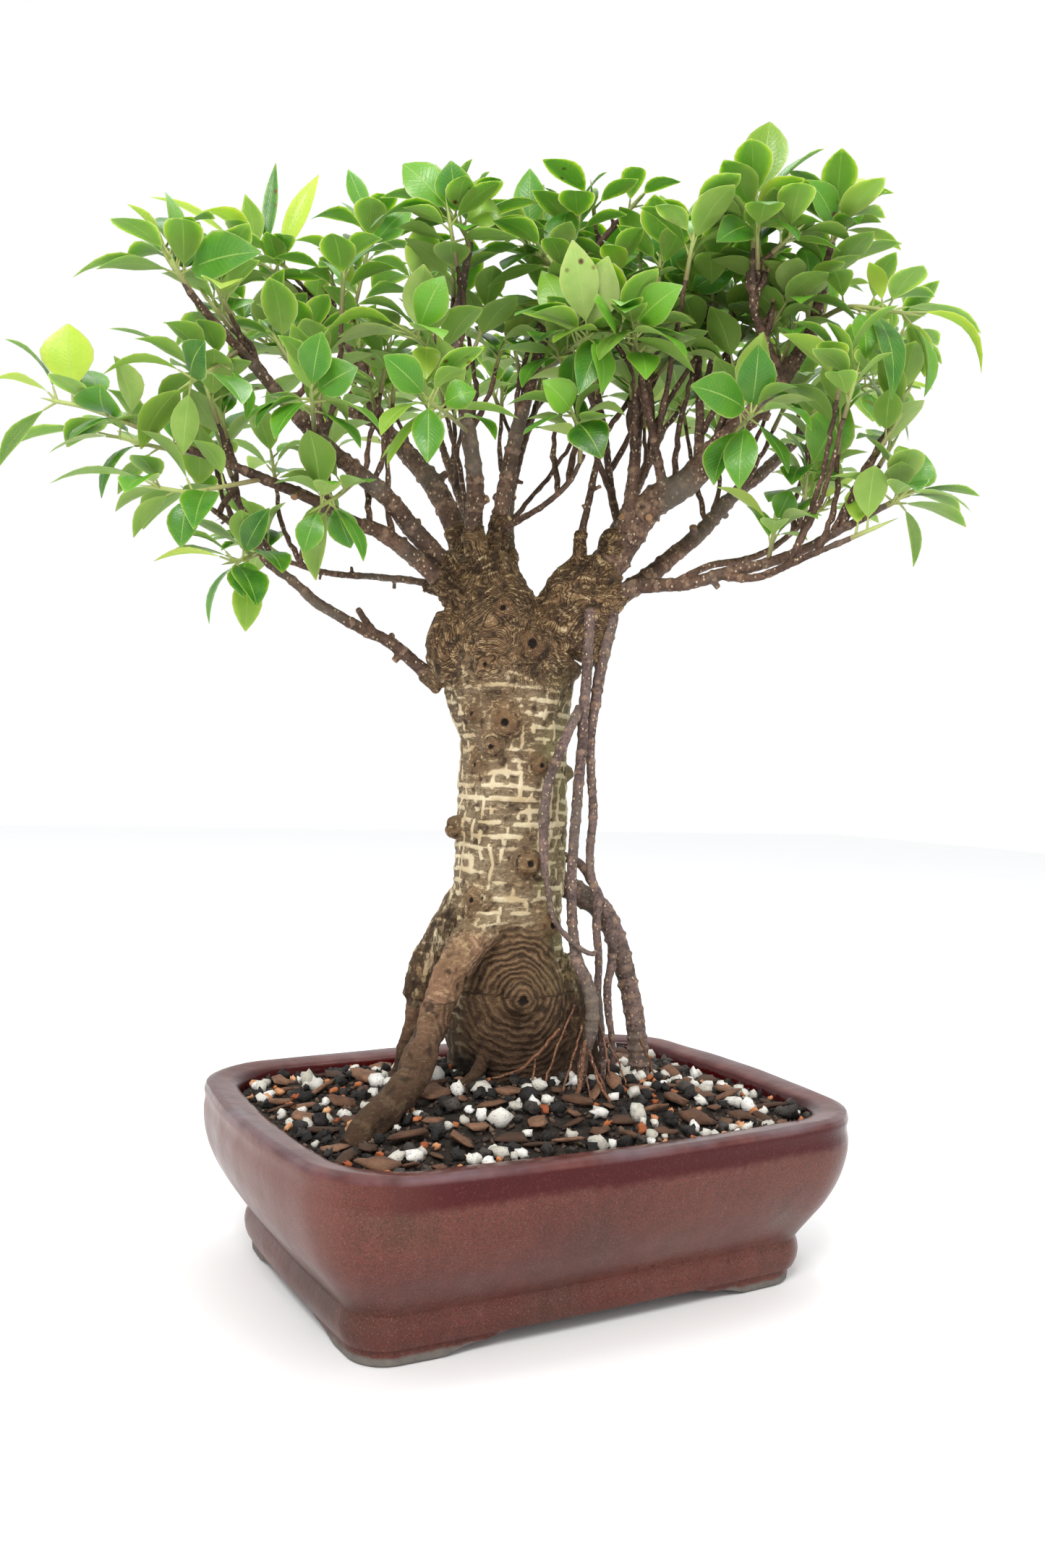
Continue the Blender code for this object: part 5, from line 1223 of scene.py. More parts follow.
def bark_tiles(places, turned):
    """Broken level ridges joined by short upright ones."""
    wavy = noise_at(places, 17, 3.0)
    level = crest(places[:, 2] / 6.6 + 0.38 * wavy, 0.26)
    level *= rise(noise_at(places, (9, 9, 3.6), 7.0), -0.24, -0.02)
    upright = crest(turned / 6.8 + 0.45 * noise_at(places, 12, 5.0), 0.24)
    upright *= rise(noise_at(places, (4, 4, 7), 9.0), -0.02, 0.12)
    plainer_back = 0.3 + 0.7 * rise(-places[:, 1] + 10 * wavy, -52, -30)
    return np.clip(np.maximum(level, upright * 0.95) * 1.3 * plainer_back, 0, 1)


def trunk_skin(paths, voxel):
    """The trunk's chains, its knots and a collar round the foot of every branch, as one skin."""
    parts = [tube("stem", path, 5) for path in paths]
    parts += [ball((x, y, z), radius) for x, y, z, radius in KNOTS]
    for limb, *_ in BRANCHES.values():
        collar = [(*row[:3], row[3] + COLLAR_SWELL) for row in limb[:2]]
        parts.append(tube("collar", smooth_path(collar, 3), 3))
    return grown_together(parts, "trunk_wood", voxel, 4)


def healed_knots(mesh, places, soft, small, ridge, brown):
    """What the knots do to the bark: rings round them, a hollow with a dark middle, and tan edges."""
    hollow = np.zeros(len(places))
    dark = np.zeros(len(places))
    orange = np.zeros(len(places))
    for number, (knot_x, knot_y, knot_z, radius) in enumerate(KNOTS):
        centre = np.array([knot_x, knot_y, knot_z])
        out = centre - (*TRUNK_AXIS, knot_z)
        out = out / np.linalg.norm(out)
        offset = places - centre
        facing = offset @ out
        lateral = np.linalg.norm(offset - facing[:, None] * out, axis=1)
        is_boss = number == BOSS
        lateral = lateral * (1 + (0.12 * soft + 0.03 * small if is_boss else 0.3 * soft + 0.3 * small))
        if is_boss:
            lateral = lateral * np.where(places[:, 2] < knot_z, 0.85, 1.15)
        reach = 50 if is_boss else radius * 2.4
        behind = -24 if is_boss else -8
        weight = rise(-lateral, -reach, -reach * 0.6) * rise(facing, behind, behind + 12)
        pitch = 3.9 if is_boss else 2.7
        rings = crest(lateral / pitch + 0.35 * small, 0.36) * rise(small, -0.5, 0.05)
        ridge = ridge * (1 - weight) + rings * weight * (0.35 if is_boss else 0.6)
        if is_boss:
            keep_mask(mesh, "boss", weight)
            keep_mask(mesh, "from_boss", lateral / reach)
        ridge *= 1 - 0.6 * weight * (lateral < radius) * (not is_boss)
        near = rise(facing, -1, radius * 0.5)
        hollow += near * 2.6 * np.clip(1 - (lateral / (0.42 * radius)) ** 2, 0, 1)
        hollow += (0.9 * np.clip(1 - lateral / (1.7 * radius), 0, 1) * near if not is_boss else 0)
        dark = np.maximum(dark, near * rise(-lateral, -0.46 * radius, -0.2 * radius))
        gap = crest(lateral / (1.5 * radius) - 0.16, 0.09) * (lateral < radius * 1.3)
        dark = np.maximum(dark, near * 0.75 * gap * rise(small, -0.3, 0.2))
        orange = np.maximum(orange, near * 0.8 * rise(-lateral, -0.95 * radius, -0.6 * radius)
                            * (0.3 if is_boss else 1))
        brown = np.maximum(brown, weight * (0.95 if is_boss else 0.75))
    return ridge, brown, hollow, dark, orange


def make_trunk(voxel):
    """The trunk, with the ridges, swirls, knots and stains of its bark, and its painted shade and shadow,
    worked out on every point.
    """
    paths = [smooth_path(chain, 3) for chain in TRUNK_CHAINS]
    trunk = trunk_skin(paths, voxel)
    mesh = trunk.data
    places = places_of(mesh)
    x, y, z = places.T
    which, walked, _ = along_paths(places, paths)
    turned = np.arctan2(y - TRUNK_AXIS[1], x - TRUNK_AXIS[0]) * TRUNK_RADIUS
    soft = noise_at(places, 16)
    small = noise_at(places, 5)
    swirl_height = z / 5.2 + 3.2 * noise_at(places, 22, 4.0)
    high = rise(z + 16 * soft, 292, 322)
    swirl = crest(swirl_height, 0.3) * rise(small, -0.25, 0.25) * 0.7
    ridge = bark_tiles(places, turned) * (1 - high) + swirl * high
    rooty = np.isin(which, ROOT_CHAINS)
    bands = crest(walked / 3.4 + 0.35 * soft, 0.3) * rise(noise_at(places, 6, 2.0), -0.35, 0.25)
    rooty = rooty * rise(-z + 14 * soft, -186, -164)
    ridge = ridge * (1 - rooty) + bands * 0.55 * rooty
    flank = np.isin(which, BUTTRESS_CHAINS)
    streaks = crest(turned / 5.2 + 0.9 * soft, 0.3) * rise(noise_at(places, (6, 6, 12), 8.0), -0.15, 0.15)
    ridge = np.where(flank, np.maximum(streaks * 0.9, ridge * 0.4), ridge)
    brown = np.clip(high * 0.9 + 0.75 * rooty + 0.25 * small, 0, 1)
    brown = np.maximum(brown, flank * rise(-z, -190, -150) * 0.85)
    ridge, brown, hollow, dark, orange = healed_knots(mesh, places, soft, small, ridge, brown)
    # painted shadow: the hollow under the great root, left of the swollen foot, is darkened through the dark
    # mask
    foot_hollow_shadow_painted = rise(-z, -122, -104) * rise(-x, 12, 20) * rise(x, -62, -50) * rise(-y, -16, 0)
    foot_hollow_shadow_painted = foot_hollow_shadow_painted * (which != GREAT_ROOT)
    dark = np.maximum(dark, foot_hollow_shadow_painted * 0.75 * (which != FORKED_ROOT))
    keep_mask(mesh, "ridge", ridge)
    keep_mask(mesh, "walked", walked)
    keep_mask(mesh, "root", rooty * rise(z, 92, 120) * rise(-small, -0.6, 0))
    keep_mask(mesh, "upper", high)
    keep_mask(mesh, "flank", flank * rise(-z, -215, -180))
    keep_mask(mesh, "brown", brown)
    keep_mask(mesh, "dark", dark)
    keep_mask(mesh, "orange", orange)
    keep_mask(mesh, "lichen", rise(x + 8 * soft, -4, 14) * rise(z, 120, 165) * rise(-z, -330, -285))
    tiny = noise_at(places, 2.4)
    lumpy = np.maximum(high, np.maximum(rise(-z, -170, -130), flank * 0.9))
    lumps = 1.1 * noise_at(places, 8, 6.0) * lumpy
    # how far each point is raised, which the bark's material reads to paint shade into the low places
    keep_mask(mesh, "raised", 0.5 + 0.45 * small + 0.4 * tiny + 0.3 * ridge + 0.4 * lumps)
    push_out(mesh, 0.8 * ridge + 1.3 * soft + 0.7 * small + 0.4 * tiny + lumps - hollow)
    finish_piece(trunk, TREE_PLACE, [bark_finish()], ["trunk"])


def rings_along(path, spacing, chance):
    """Where the raised rings lie along a path, and the path swollen there."""
    rings = []
    rows = [row.copy() for row in path]
    walked = 0
    next_ring = spacing * chance.uniform(0.3, 1)
    for before, row in zip(path, rows[1:]):
        walked += (row.xyz - before.xyz).length
        row[3] *= 1 + 0.05 * chance.uniform(-1, 1)
        if walked > next_ring:
            row[3] *= 1 + 0.13 * chance.uniform(0.6, 1.4)
            rings.append(walked)
            next_ring += spacing * chance.uniform(0.6, 1.5)
    return rings, rows


def pruned_stubs(path, count, chance):
    """Short cut-off side shoots: tubes, and the middles of their cut faces."""
    stubs = []
    for _ in range(count):
        at = chance.randrange(len(path) // 6, len(path) - 2)
        row = path[at]
        along = (path[at + 1].xyz - row.xyz).normalized()
        out = along.orthogonal().normalized()
        out.rotate(Matrix.Rotation(chance.uniform(0, 2 * math.pi), 3, along))
        out = (out + along * chance.uniform(0, 0.6)).normalized()
        thick = min(row[3] * 0.55, 2.4)
        end = row.xyz + out * (row[3] + chance.uniform(1.5, 5.5))
        stubs.append([(*row.xyz, thick * 1.2), (*row.xyz.lerp(end, 0.7), thick), (*end, thick * 0.95)])
    return stubs


def make_wood(name, finish, limbs, voxel, ring_spacing, stub_count, seed):
    """Limbs with their forks, rings and pruned stubs as one skin."""
    chance = random.Random(seed)
    spacing = 1.6
    paths = []
    rings = []
    for limb in limbs:
        marks, rows = rings_along(smooth_path(limb, spacing), ring_spacing, chance)
        paths.append(rows)
        rings.append(marks)
    stubs = pruned_stubs(paths[0], stub_count, chance)
    parts = [tube("limb", path, 4) for path in paths]
    parts += [tube("stub", [Vector(row) for row in stub], 2) for stub in stubs]
    wood = grown_together(parts, name + "_wood", voxel, 1)
    mesh = wood.data
    places = places_of(mesh)
    which, walked, _ = along_paths(places, paths)
    ridge = np.zeros(len(places))
    for number, marks in enumerate(rings):
        for mark in marks:
            ridge = np.maximum(ridge, (which == number) * np.clip(1.3 - np.abs(walked - mark) / 1.1, 0, 1))
    ridge *= rise(noise_at(places, 2.5), -0.5, 0.1)
    cut = np.zeros(len(places))
    for stub in stubs:
        end = np.array(stub[-1][:3])
        wide = stub[-1][3]
        cut = np.maximum(cut, rise(-np.linalg.norm(places - end, axis=1), -1.1 * wide, -0.6 * wide))
    keep_mask(mesh, "ridge", ridge)
    keep_mask(mesh, "cut", cut)
    keep_mask(mesh, "grey", rise(noise_at(places, 30), -0.2, 0.2))
    push_out(mesh, 0.3 * noise_at(places, 4.5) + 0.15 * noise_at(places, 1.6))
    finish_piece(wood, TREE_PLACE, [finish], [name])


HAIR_ROOTS = [
    # thin root across the swollen foot, then hair roots at the foot of the hanging ones
    [(17, -12, 128, 0.9), (10, -17, 120, 0.9), (0, -19, 110, 0.8), (-10, -18, 104, 0.7),
     (-17, -17, 102, 0.5)],
    [(31, -12, 122, 1.2), (30, -18, 110, 1.3), (28, -20, 99, 1.5), (26, -21, 84, 1.3)],
    [(33, -10, 118, 0.8), (38, -20, 104, 0.8), (46, -30, 92, 0.9), (54, -42, 84, 0.8)],
    [(29, -10, 130, 0.6), (24, -18, 112, 0.6), (20, -22, 98, 0.6), (19, -24, 84, 0.5)],
    [(34, -9, 112, 0.7), (41, -12, 100, 0.7), (46, -14, 84, 0.6)],
    [(25, -8, 140, 0.6), (16, -16, 118, 0.6), (10, -20, 100, 0.6), (7, -22, 84, 0.5)],
    [(38, 6, 132, 0.6), (44, 0, 112, 0.6), (47, -3, 84, 0.5)],
    [(-30, -22, 100, 0.6), (-36, -30, 92, 0.6), (-40, -36, 84, 0.5)],
    [(5, -14, 112, 0.6), (4, -20, 100, 0.6), (6, -24, 84, 0.5)],
    [(60, 43, 124, 0.6), (70, 34, 104, 0.6), (76, 28, 84, 0.5)],
    [(44, 8, 120, 0.5), (52, 2, 104, 0.5), (58, -4, 84, 0.5)],
    [(31, -12, 108, 0.5), (34, -24, 96, 0.5), (33, -32, 84, 0.5)],
]


def make_hair_roots():
    finish = twig_finish("hair_root_bark", (0.09, 0.035, 0.018), (0.22, 0.1, 0.055), 700)
    chance = random.Random(5)
    parts = []
    for root in HAIR_ROOTS:
        rows = smooth_path(root, 3)
        for row in rows[1:-1]:
            row.xyz += Vector([chance.uniform(-0.5, 0.5) for _ in range(3)])
        parts.append(tube("hair", rows, 1))
    finish_piece(join_all(parts, "hair_roots"), TREE_PLACE, [finish])


# --------------------------------------------------------------------------- leaves


def leaf_pattern(finishes):
    """A flat closed leaf: x across from -1 to 1, y along from 0 to 1, z the side, with its own chart."""
    clear_selection()
    bpy.ops.mesh.primitive_grid_add(x_subdivisions=4, y_subdivisions=7, size=2)
    obj = bpy.context.object
    bpy.ops.object.mode_set(mode="EDIT")
    bpy.ops.mesh.select_all(action="SELECT")
    bpy.ops.mesh.duplicate()
    bpy.ops.mesh.flip_normals()
    bpy.ops.object.mode_set(mode="OBJECT")
    mesh = obj.data
    for face in mesh.polygons:
        face.material_index = 1 if face.select else 0
    for vert in mesh.vertices:
        on_rim = abs(vert.co.x) > 0.99 or abs(vert.co.y) > 0.99
        side = 0 if on_rim else (-1 if vert.select else 1)
        vert.co = (vert.co.x, (vert.co.y + 1) / 2, side)
    bpy.ops.object.mode_set(mode="EDIT")
    bpy.ops.mesh.select_all(action="SELECT")
    bpy.ops.mesh.remove_doubles(threshold=0.0001)
    bpy.ops.object.mode_set(mode="OBJECT")
    bpy.data.objects.remove(obj, do_unlink=True)
    for finish in finishes:
        mesh.materials.append(finish)
    return mesh


def spine_at(base, crown, tip, share):
    """Place and heading on a leaf's arched midrib."""
    place = base * (1 - share) ** 2 + crown * 2 * share * (1 - share) + tip * share ** 2
    heading = (crown - base) * (1 - share) + (tip - crown) * share
    return place, heading.normalized()


def blade_places(marks, base, tip, width, lift, facing, habit):
    """Where the pattern's points go on one folded, arched and slightly waved blade."""
    fold, curl, skew, wave, droop = habit
    axis = (tip - base).normalized()
    normal = (facing - axis * facing.dot(axis)).normalized()
    side = axis.cross(normal)
    crown = (base + tip) / 2 + normal * lift * 2
    places = []
    for across, along, face in marks:
        share = PETIOLE_SHARE + (1 - PETIOLE_SHARE) * along
        spine, heading = spine_at(base, crown, tip, share)
        out = side.cross(heading)
        swell = math.sin(math.pi * along ** skew) ** 0.86 * (1 - 0.3 * along ** 4)
        half = width / 2 * (0.045 + 0.955 * max(swell, 0))
        rise_up = half * (fold * abs(across) - curl * across ** 2)
        rise_up += wave * math.sin(along * 7 + across * 2) * abs(across) * half
        rise_up -= droop * along ** 3
        places.append(spine + side * across * half + out * (rise_up + face * BLADE_HALF_THICKNESS))
    return places


def stem_point(stem, share):
    """Place and direction on a stem's polyline, by share of its length."""
    rows = [Vector(point[:3]) for point in stem]
    lengths = [(b - a).length for a, b in zip(rows, rows[1:])]
    left = share * sum(lengths)
    for a, b, length in zip(rows, rows[1:], lengths):
        if left <= length or b is rows[-1]:
            return a.lerp(b, min(left / length, 1)), (b - a).normalized()
        left -= length


def filler_leaves(stem, count, phase, lift):
    """Leaves set round a stem by the golden angle, spreading and a little drooping."""
    leaves = []
    for k in range(count):
        share = 0.05 + 0.95 * k / max(count - 1, 1)
        start, along = stem_point(stem, BARE_STEM + (1 - BARE_STEM) * share)
        around = along.orthogonal().normalized()
        around.rotate(Matrix.Rotation(phase + k * GOLDEN_ANGLE, 3, along))
        reach = (around + along * 0.55 + UP * 0.25).normalized()
        length = 36 + 6 * math.sin(phase * 3 + k * 1.7)
        leaves.append((share, start + reach * length - UP * 4, 0.46 * length, lift, UP))
    return leaves


def box_of(points):
    """The least and the greatest corner of some points."""
    return ([min(point[k] for point in points) for k in range(3)],
            [max(point[k] for point in points) for k in range(3)])


def wood_in_the_way():
    """The box and search tree of every wooden piece, in the tree's own frame."""
    back_to_tree = TREE_PLACE.inverted()
    obstacles = []
    for obj in bpy.data.objects:
        if obj.name.endswith("_wood"):
            corners = [back_to_tree @ vert.co for vert in obj.data.vertices]
            faces = [list(face.vertices) for face in obj.data.polygons]
            obstacles.append((*box_of(corners), BVHTree.FromPolygons(corners, faces)))
    return obstacles


def is_clear(points, faces, obstacles):
    """True for a leaf that touches nothing."""
    tree = BVHTree.FromPolygons(points, faces)
    low, high = box_of(points)
    for other_low, other_high, other in obstacles:
        if all(other_low[k] - 0.5 <= high[k] and other_high[k] + 0.5 >= low[k] for k in range(3)):
            if tree.overlap(other):
                return False
    return True


# Degrees that a leaf may be swung sideways and tipped to find room, in the order they are tried
SWINGS = (0, 12, -12, 24, -24, 38, -38, 55, -55)
PITCHES = (0, 10, -10, 22, -22)


def placed_leaf(stem, leaf, habit, marks, faces, obstacles):
    """A leaf's base and points, swung aside in steps until it is clear; None if there is no room."""
    share, tip, width, lift, facing = leaf
    base, along = stem_point(stem, BARE_STEM + (1 - BARE_STEM) * share)
    reach = tip - base
    for swing in SWINGS:
        for pitch in PITCHES:
            turned = reach.copy()
            turned.rotate(Matrix.Rotation(math.radians(swing), 3, "Z"))
            turned.rotate(Matrix.Rotation(math.radians(pitch), 3, turned.cross(UP)))
            points = blade_places(marks, base, base + turned, width, lift, facing, habit)
            if is_clear(points, faces, obstacles):
                return base, points
    return None


def stamped(mould, name, masks, points=None, place=None):
    """An own copy of a mould as an object, its points moved and its numbers for the material stored."""
    mesh = mould.copy()
    if points:
        mesh.vertices.foreach_set("co", [part for point in points for part in point])
    if place:
        mesh.transform(place)
    for mask, value in masks.items():
        keep_mask(mesh, mask, np.full(len(mesh.vertices), value))
    return linked(name, mesh)


def thin_cone(mould, start, end, wide, masks):
    """A leaf's stalk or a bud, between two points."""
    reach = end - start
    place = (Matrix.Translation(start) @ reach.to_track_quat("Z", "Y").to_matrix().to_4x4()
             @ Matrix.Diagonal((wide, wide, reach.length, 1)))
    return stamped(mould, "stalk", masks, place=place)


def cone_mould(narrow, finishes):
    """A closed cone of length 1 standing on its base, radius 1 below, with the stalk's finish."""
    clear_selection()
    bpy.ops.mesh.primitive_cone_add(vertices=6, radius1=1, radius2=narrow, depth=1, location=(0, 0, 0.5))
    cone = bpy.context.object
    bpy.ops.object.transform_apply(location=True, rotation=True, scale=True)
    mesh = cone.data
    bpy.data.objects.remove(cone, do_unlink=True)
    for finish in finishes:
        mesh.materials.append(finish)
    for face in mesh.polygons:
        face.material_index = 2
    return mesh


def leafy_stem(stem, plan, moulds, obstacles, chance):
    """The parts of a green stem with its leaves, leaf stalks and pointed end bud."""
    pattern, stalk_mould, bud_mould = moulds
    marks = [vert.co.copy() for vert in pattern.vertices]
    faces = [list(face.vertices) for face in pattern.polygons]
    last = len(stem) - 1
    tapered = [(*point, 1.35 - 0.35 * k / last) for k, point in enumerate(stem)]
    green = tube("stem", smooth_path(tapered, 3), 1)
    for finish in pattern.materials:
        green.data.materials.append(finish)
    for face in green.data.polygons:
        face.material_index = 2
    places = places_of(green.data)
    from_foot = np.linalg.norm(places - np.array(stem[0]), axis=1)
    keep_mask(green.data, "woody", np.clip(1 - 1.1 * from_foot / from_foot.max(), 0, 1))
    parts = [green]
    for leaf, is_young in plan:
        habit = (chance.uniform(0.12, 0.5), chance.uniform(0.05, 0.3), chance.uniform(0.85, 1.2),
                 chance.uniform(0, 0.09), chance.uniform(0, 3))
        tint = min(max(chance.gauss(0.5, 0.24), 0), 1)
        young = chance.uniform(0.7, 0.95) if is_young else (chance.random() < 0.1) * chance.uniform(0.1, 0.5)
        spots = float(chance.random() < 0.07)
        placed = placed_leaf(stem, leaf, habit, marks, faces, obstacles)
        if placed is None:
            continue
        base, points = placed
        obstacles.append((*box_of(points), BVHTree.FromPolygons(points, faces)))
        parts.append(stamped(pattern, "leaf", {"tint": tint, "young": young, "spots": spots}, points))
        foot = [point for point, mark in zip(points, marks) if mark.y == 0]
        blade_foot = sum(foot, Vector()) / len(foot)
        parts.append(thin_cone(stalk_mould, base, blade_foot, STALK_RADIUS, {"woody": 0.15}))
    tip = Vector(stem[-1])
    heading = (tip - Vector(stem[-2])).normalized()
    bud_tip = tip + heading * chance.uniform(7, 12)
    parts.append(thin_cone(bud_mould, tip - heading, bud_tip, BUD_RADIUS, {"woody": 0}))
    return parts


def make_shoot(name, number, extra, moulds, obstacles):
    """A shoot with its listed leaves and the ones that fill it, as one piece."""
    chance = random.Random(100 + number)
    stem, set_leaves, filler_count = SHOOTS[name]
    plan = []
    for order, (share, tip, width, lift, facing) in enumerate(set_leaves):
        is_young = order in YOUNG_LEAVES.get(name, ())
        if order in TURNED_LEAVES.get(name, ()):
            facing = -facing
            lift = -lift
        plan.append(((share, Vector(tip), width, lift, facing), is_young))
    phase = number * 0.9
    plan += [(leaf, False) for leaf in filler_leaves(stem, filler_count, phase, 5)]
    plan += [(leaf, False) for leaf in filler_leaves(stem, extra, phase + 2.1, 3)]
    shoot = join_all(leafy_stem(stem, plan, moulds, obstacles, chance), name + "_leaves")
    finish_piece(shoot, TREE_PLACE, stands_for=[name])
    shoot.data.set_sharp_from_angle(angle=math.radians(80))


def canopy_foot(x):
    """Height where the leaves begin, which is lower towards the sides."""
    return CANOPY_FOOT - 0.0032 * x ** 2


def inside_canopy(tip):
    """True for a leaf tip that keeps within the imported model's outline."""
    place = TREE_PLACE @ tip
    low, high = CAD_BOX
    inside = all(low[k] + CANOPY_MARGIN < place[k] < high[k] - CANOPY_MARGIN for k in range(3))
    inside = inside and abs(tip.x) - 0.3 * tip.y < 203 - 0.5 * max(0, 440 - tip.z)
    return inside and canopy_foot(tip.x) - 8 < tip.z < CANOPY_TOP - 0.0011 * (tip.x + 10) ** 2


def make_sprigs(name, number, settings, finish, moulds, obstacles):
    """A spray of leaves at every branch end, and thin leafy twigs rising from it where there is room."""
    chance = random.Random(700 + number)
    twigs = []
    parts = []
    for limb in BRANCHES[name]:
        path = smooth_path(limb, 4)
        tip = path[-1].xyz
        heading = (tip - path[-2].xyz).normalized() * 12
        stem = [tuple(tip - heading * 0.4), tuple(tip + heading * 0.5), tuple(tip + heading)]
        leaves = filler_leaves(stem, settings.sprig_leaves, chance.uniform(0, 6), 4)
        leaves = [(leaf, False) for leaf in leaves if inside_canopy(leaf[1])]
        if leaves:
            parts += leafy_stem(stem, leaves, moulds, obstacles, chance)
        for place in range(settings.sprigs):
            start = path[chance.randrange(len(path) // 4, len(path) - 1)]
            top = canopy_foot(start.x) + chance.uniform(-4, 62)
            length = max(top - start.z, chance.uniform(10, 22))
            if length > settings.longest_twig or length + start.z > CANOPY_TOP - 8:
                continue
            lean = Vector((chance.gauss(0, 0.3) + start.x / 400, chance.gauss(0, 0.32), 1))
            end = start.xyz + lean * length
            bend = start.xyz.lerp(end, 0.5) + Vector((chance.gauss(0, 3), chance.gauss(0, 3), 0))
            heading = (end - bend).normalized() * chance.uniform(12, 24)
            stem = [tuple(end), tuple(end + heading * 0.5), tuple(end + heading)]
            leaves = filler_leaves(stem, settings.sprig_leaves, chance.uniform(0, 6), chance.uniform(2, 6))
            leaves = [leaf for leaf in leaves if inside_canopy(leaf[1])]
            if len(leaves) < 2:
                continue
            rows = smooth_path([(*start.xyz, 1.7), (*bend, 1.35), (*end, 1.05)], 4)
            for row in rows[1:-1]:
                row.xyz += Vector([chance.uniform(-0.6, 0.6) for _ in range(3)])
                row[3] *= chance.uniform(0.88, 1.2)
            twigs.append(tube("twig", rows, 2))
            parts += leafy_stem(stem, [(leaf, False) for leaf in leaves], moulds, obstacles, chance)
    part_of_tree = name.removeprefix("branch_")
    if twigs:
        finish_piece(join_all(twigs, "twigs_" + part_of_tree), TREE_PLACE, [finish])
    if parts:
        sprigs = join_all(parts, "sprigs_" + part_of_tree)
        finish_piece(sprigs, TREE_PLACE)
        sprigs.data.set_sharp_from_angle(angle=math.radians(80))


# --------------------------------------------------------------------------- stage


def add_lamp(name, place, target, size, power, colour):
    """A round soft lamp that looks at a target."""
    lamp = bpy.data.lights.new(name, "AREA")
    lamp.shape = "DISK"
    lamp.size = size
    lamp.energy = power
    lamp.color = colour
    obj = linked(name, lamp)
    obj.location = place
    obj.rotation_euler = (Vector(target) - Vector(place)).to_track_quat("-Z", "Y").to_euler()


def make_stage(settings):
    """Pale floor, soft white light all round, and two large lamps."""
    clear_selection()
    bpy.ops.mesh.primitive_plane_add(size=8, location=(POT_MIDDLE.x, POT_MIDDLE.y, 0))
    floor = bpy.context.object
    floor.name = "floor"
    it = Finish("white_cloth")
    tone = it.mix(it.noise(6, 3), (0.92, 0.93, 0.94), (0.95, 0.955, 0.96))
    floor.data.materials.append(it.done(tone, 0.9, it.bump(it.noise(900, 2), 0.1, 0.0005)))
    world = bpy.data.worlds.new("soft_white_room")
    world.use_nodes = True
    light = world.node_tree.nodes["Background"]
    light.inputs["Color"].default_value = (1, 1, 1, 1)
    light.inputs["Strength"].default_value = settings.room_light
    bpy.context.scene.world = world
    bpy.context.scene.view_settings.view_transform = "Standard"
    middle = POT_MIDDLE + UP * 0.3
    add_lamp("key", middle + Vector((-0.9, -1.1, 1.1)), middle, 0.6, 22, (1, 0.98, 0.95))
    add_lamp("top", middle + Vector((0.2, 0.1, 1.6)), middle, 1.0, 18, (1, 1, 1))


def make_camera(settings):
    """The camera, set by angles round the pot's middle and by a point beside its axis."""
    azimuth = settings.camera_azimuth
    elevation = settings.camera_elevation
    back = Vector((math.sin(azimuth) * math.cos(elevation), -math.cos(azimuth) * math.cos(elevation),
                   math.sin(elevation)))
    right = Vector((math.cos(azimuth), math.sin(azimuth), 0))
    upward = back.cross(right)
    target = POT_MIDDLE + right * settings.camera_aside + UP * settings.camera_height
    roll = settings.camera_roll
    turned_right = right * math.cos(roll) + upward * math.sin(roll)
    turned_up = upward * math.cos(roll) - right * math.sin(roll)
    lens = bpy.data.cameras.new("camera")
    lens.sensor_fit = "VERTICAL"
    lens.sensor_height = 36
    lens.lens = settings.camera_lens
    lens.clip_start = 0.02
    camera = linked("camera", lens)
    axes = Matrix((turned_right, turned_up, back)).transposed().to_4x4()
    camera.matrix_world = Matrix.Translation(target + back * settings.camera_distance) @ axes
    bpy.context.scene.camera = camera


# --------------------------------------------------------------------------- add-on


class BonsaiWoodSettings(bpy.types.PropertyGroup):
    trunk_voxel: FloatProperty(name="Trunk detail", description="Size of the trunk's surface cells, in mm",
                               default=1.22, min=0.5, max=5)
    twig_voxel: FloatProperty(name="Branch detail", description="Size of the branches' surface cells, in mm",
                              default=0.7, min=0.4, max=3)
    ring_spacing: FloatProperty(name="Ring spacing", description="Usual distance between rings, in mm",
                                default=11, min=2, max=60)
    stub_count: IntProperty(name="Pruned stubs", description="Cut-off side shoots on each branch",
                            default=4, min=0, max=20)
    twig_colour: FloatVectorProperty(name="Branch colour", description="Middle tone of the branches' bark",
                                     subtype="COLOR", default=(0.12, 0.068, 0.046), min=0, max=1)


class BonsaiLeafSettings(bpy.types.PropertyGroup):
    extra_leaves: IntProperty(name="Extra leaves", description="Leaves added to each shoot",
                              default=5, min=0, max=20)
    sprigs: IntProperty(name="Sprigs", description="Leafy twigs tried on each limb",
                        default=7, min=0, max=30)
    longest_twig: FloatProperty(name="Longest twig", description="Longest leafy twig, in mm",
                                default=76, min=10)
    sprig_leaves: IntProperty(name="Leaves on a sprig", description="Leaves tried on each side sprig",
                              default=6, min=1, max=12)


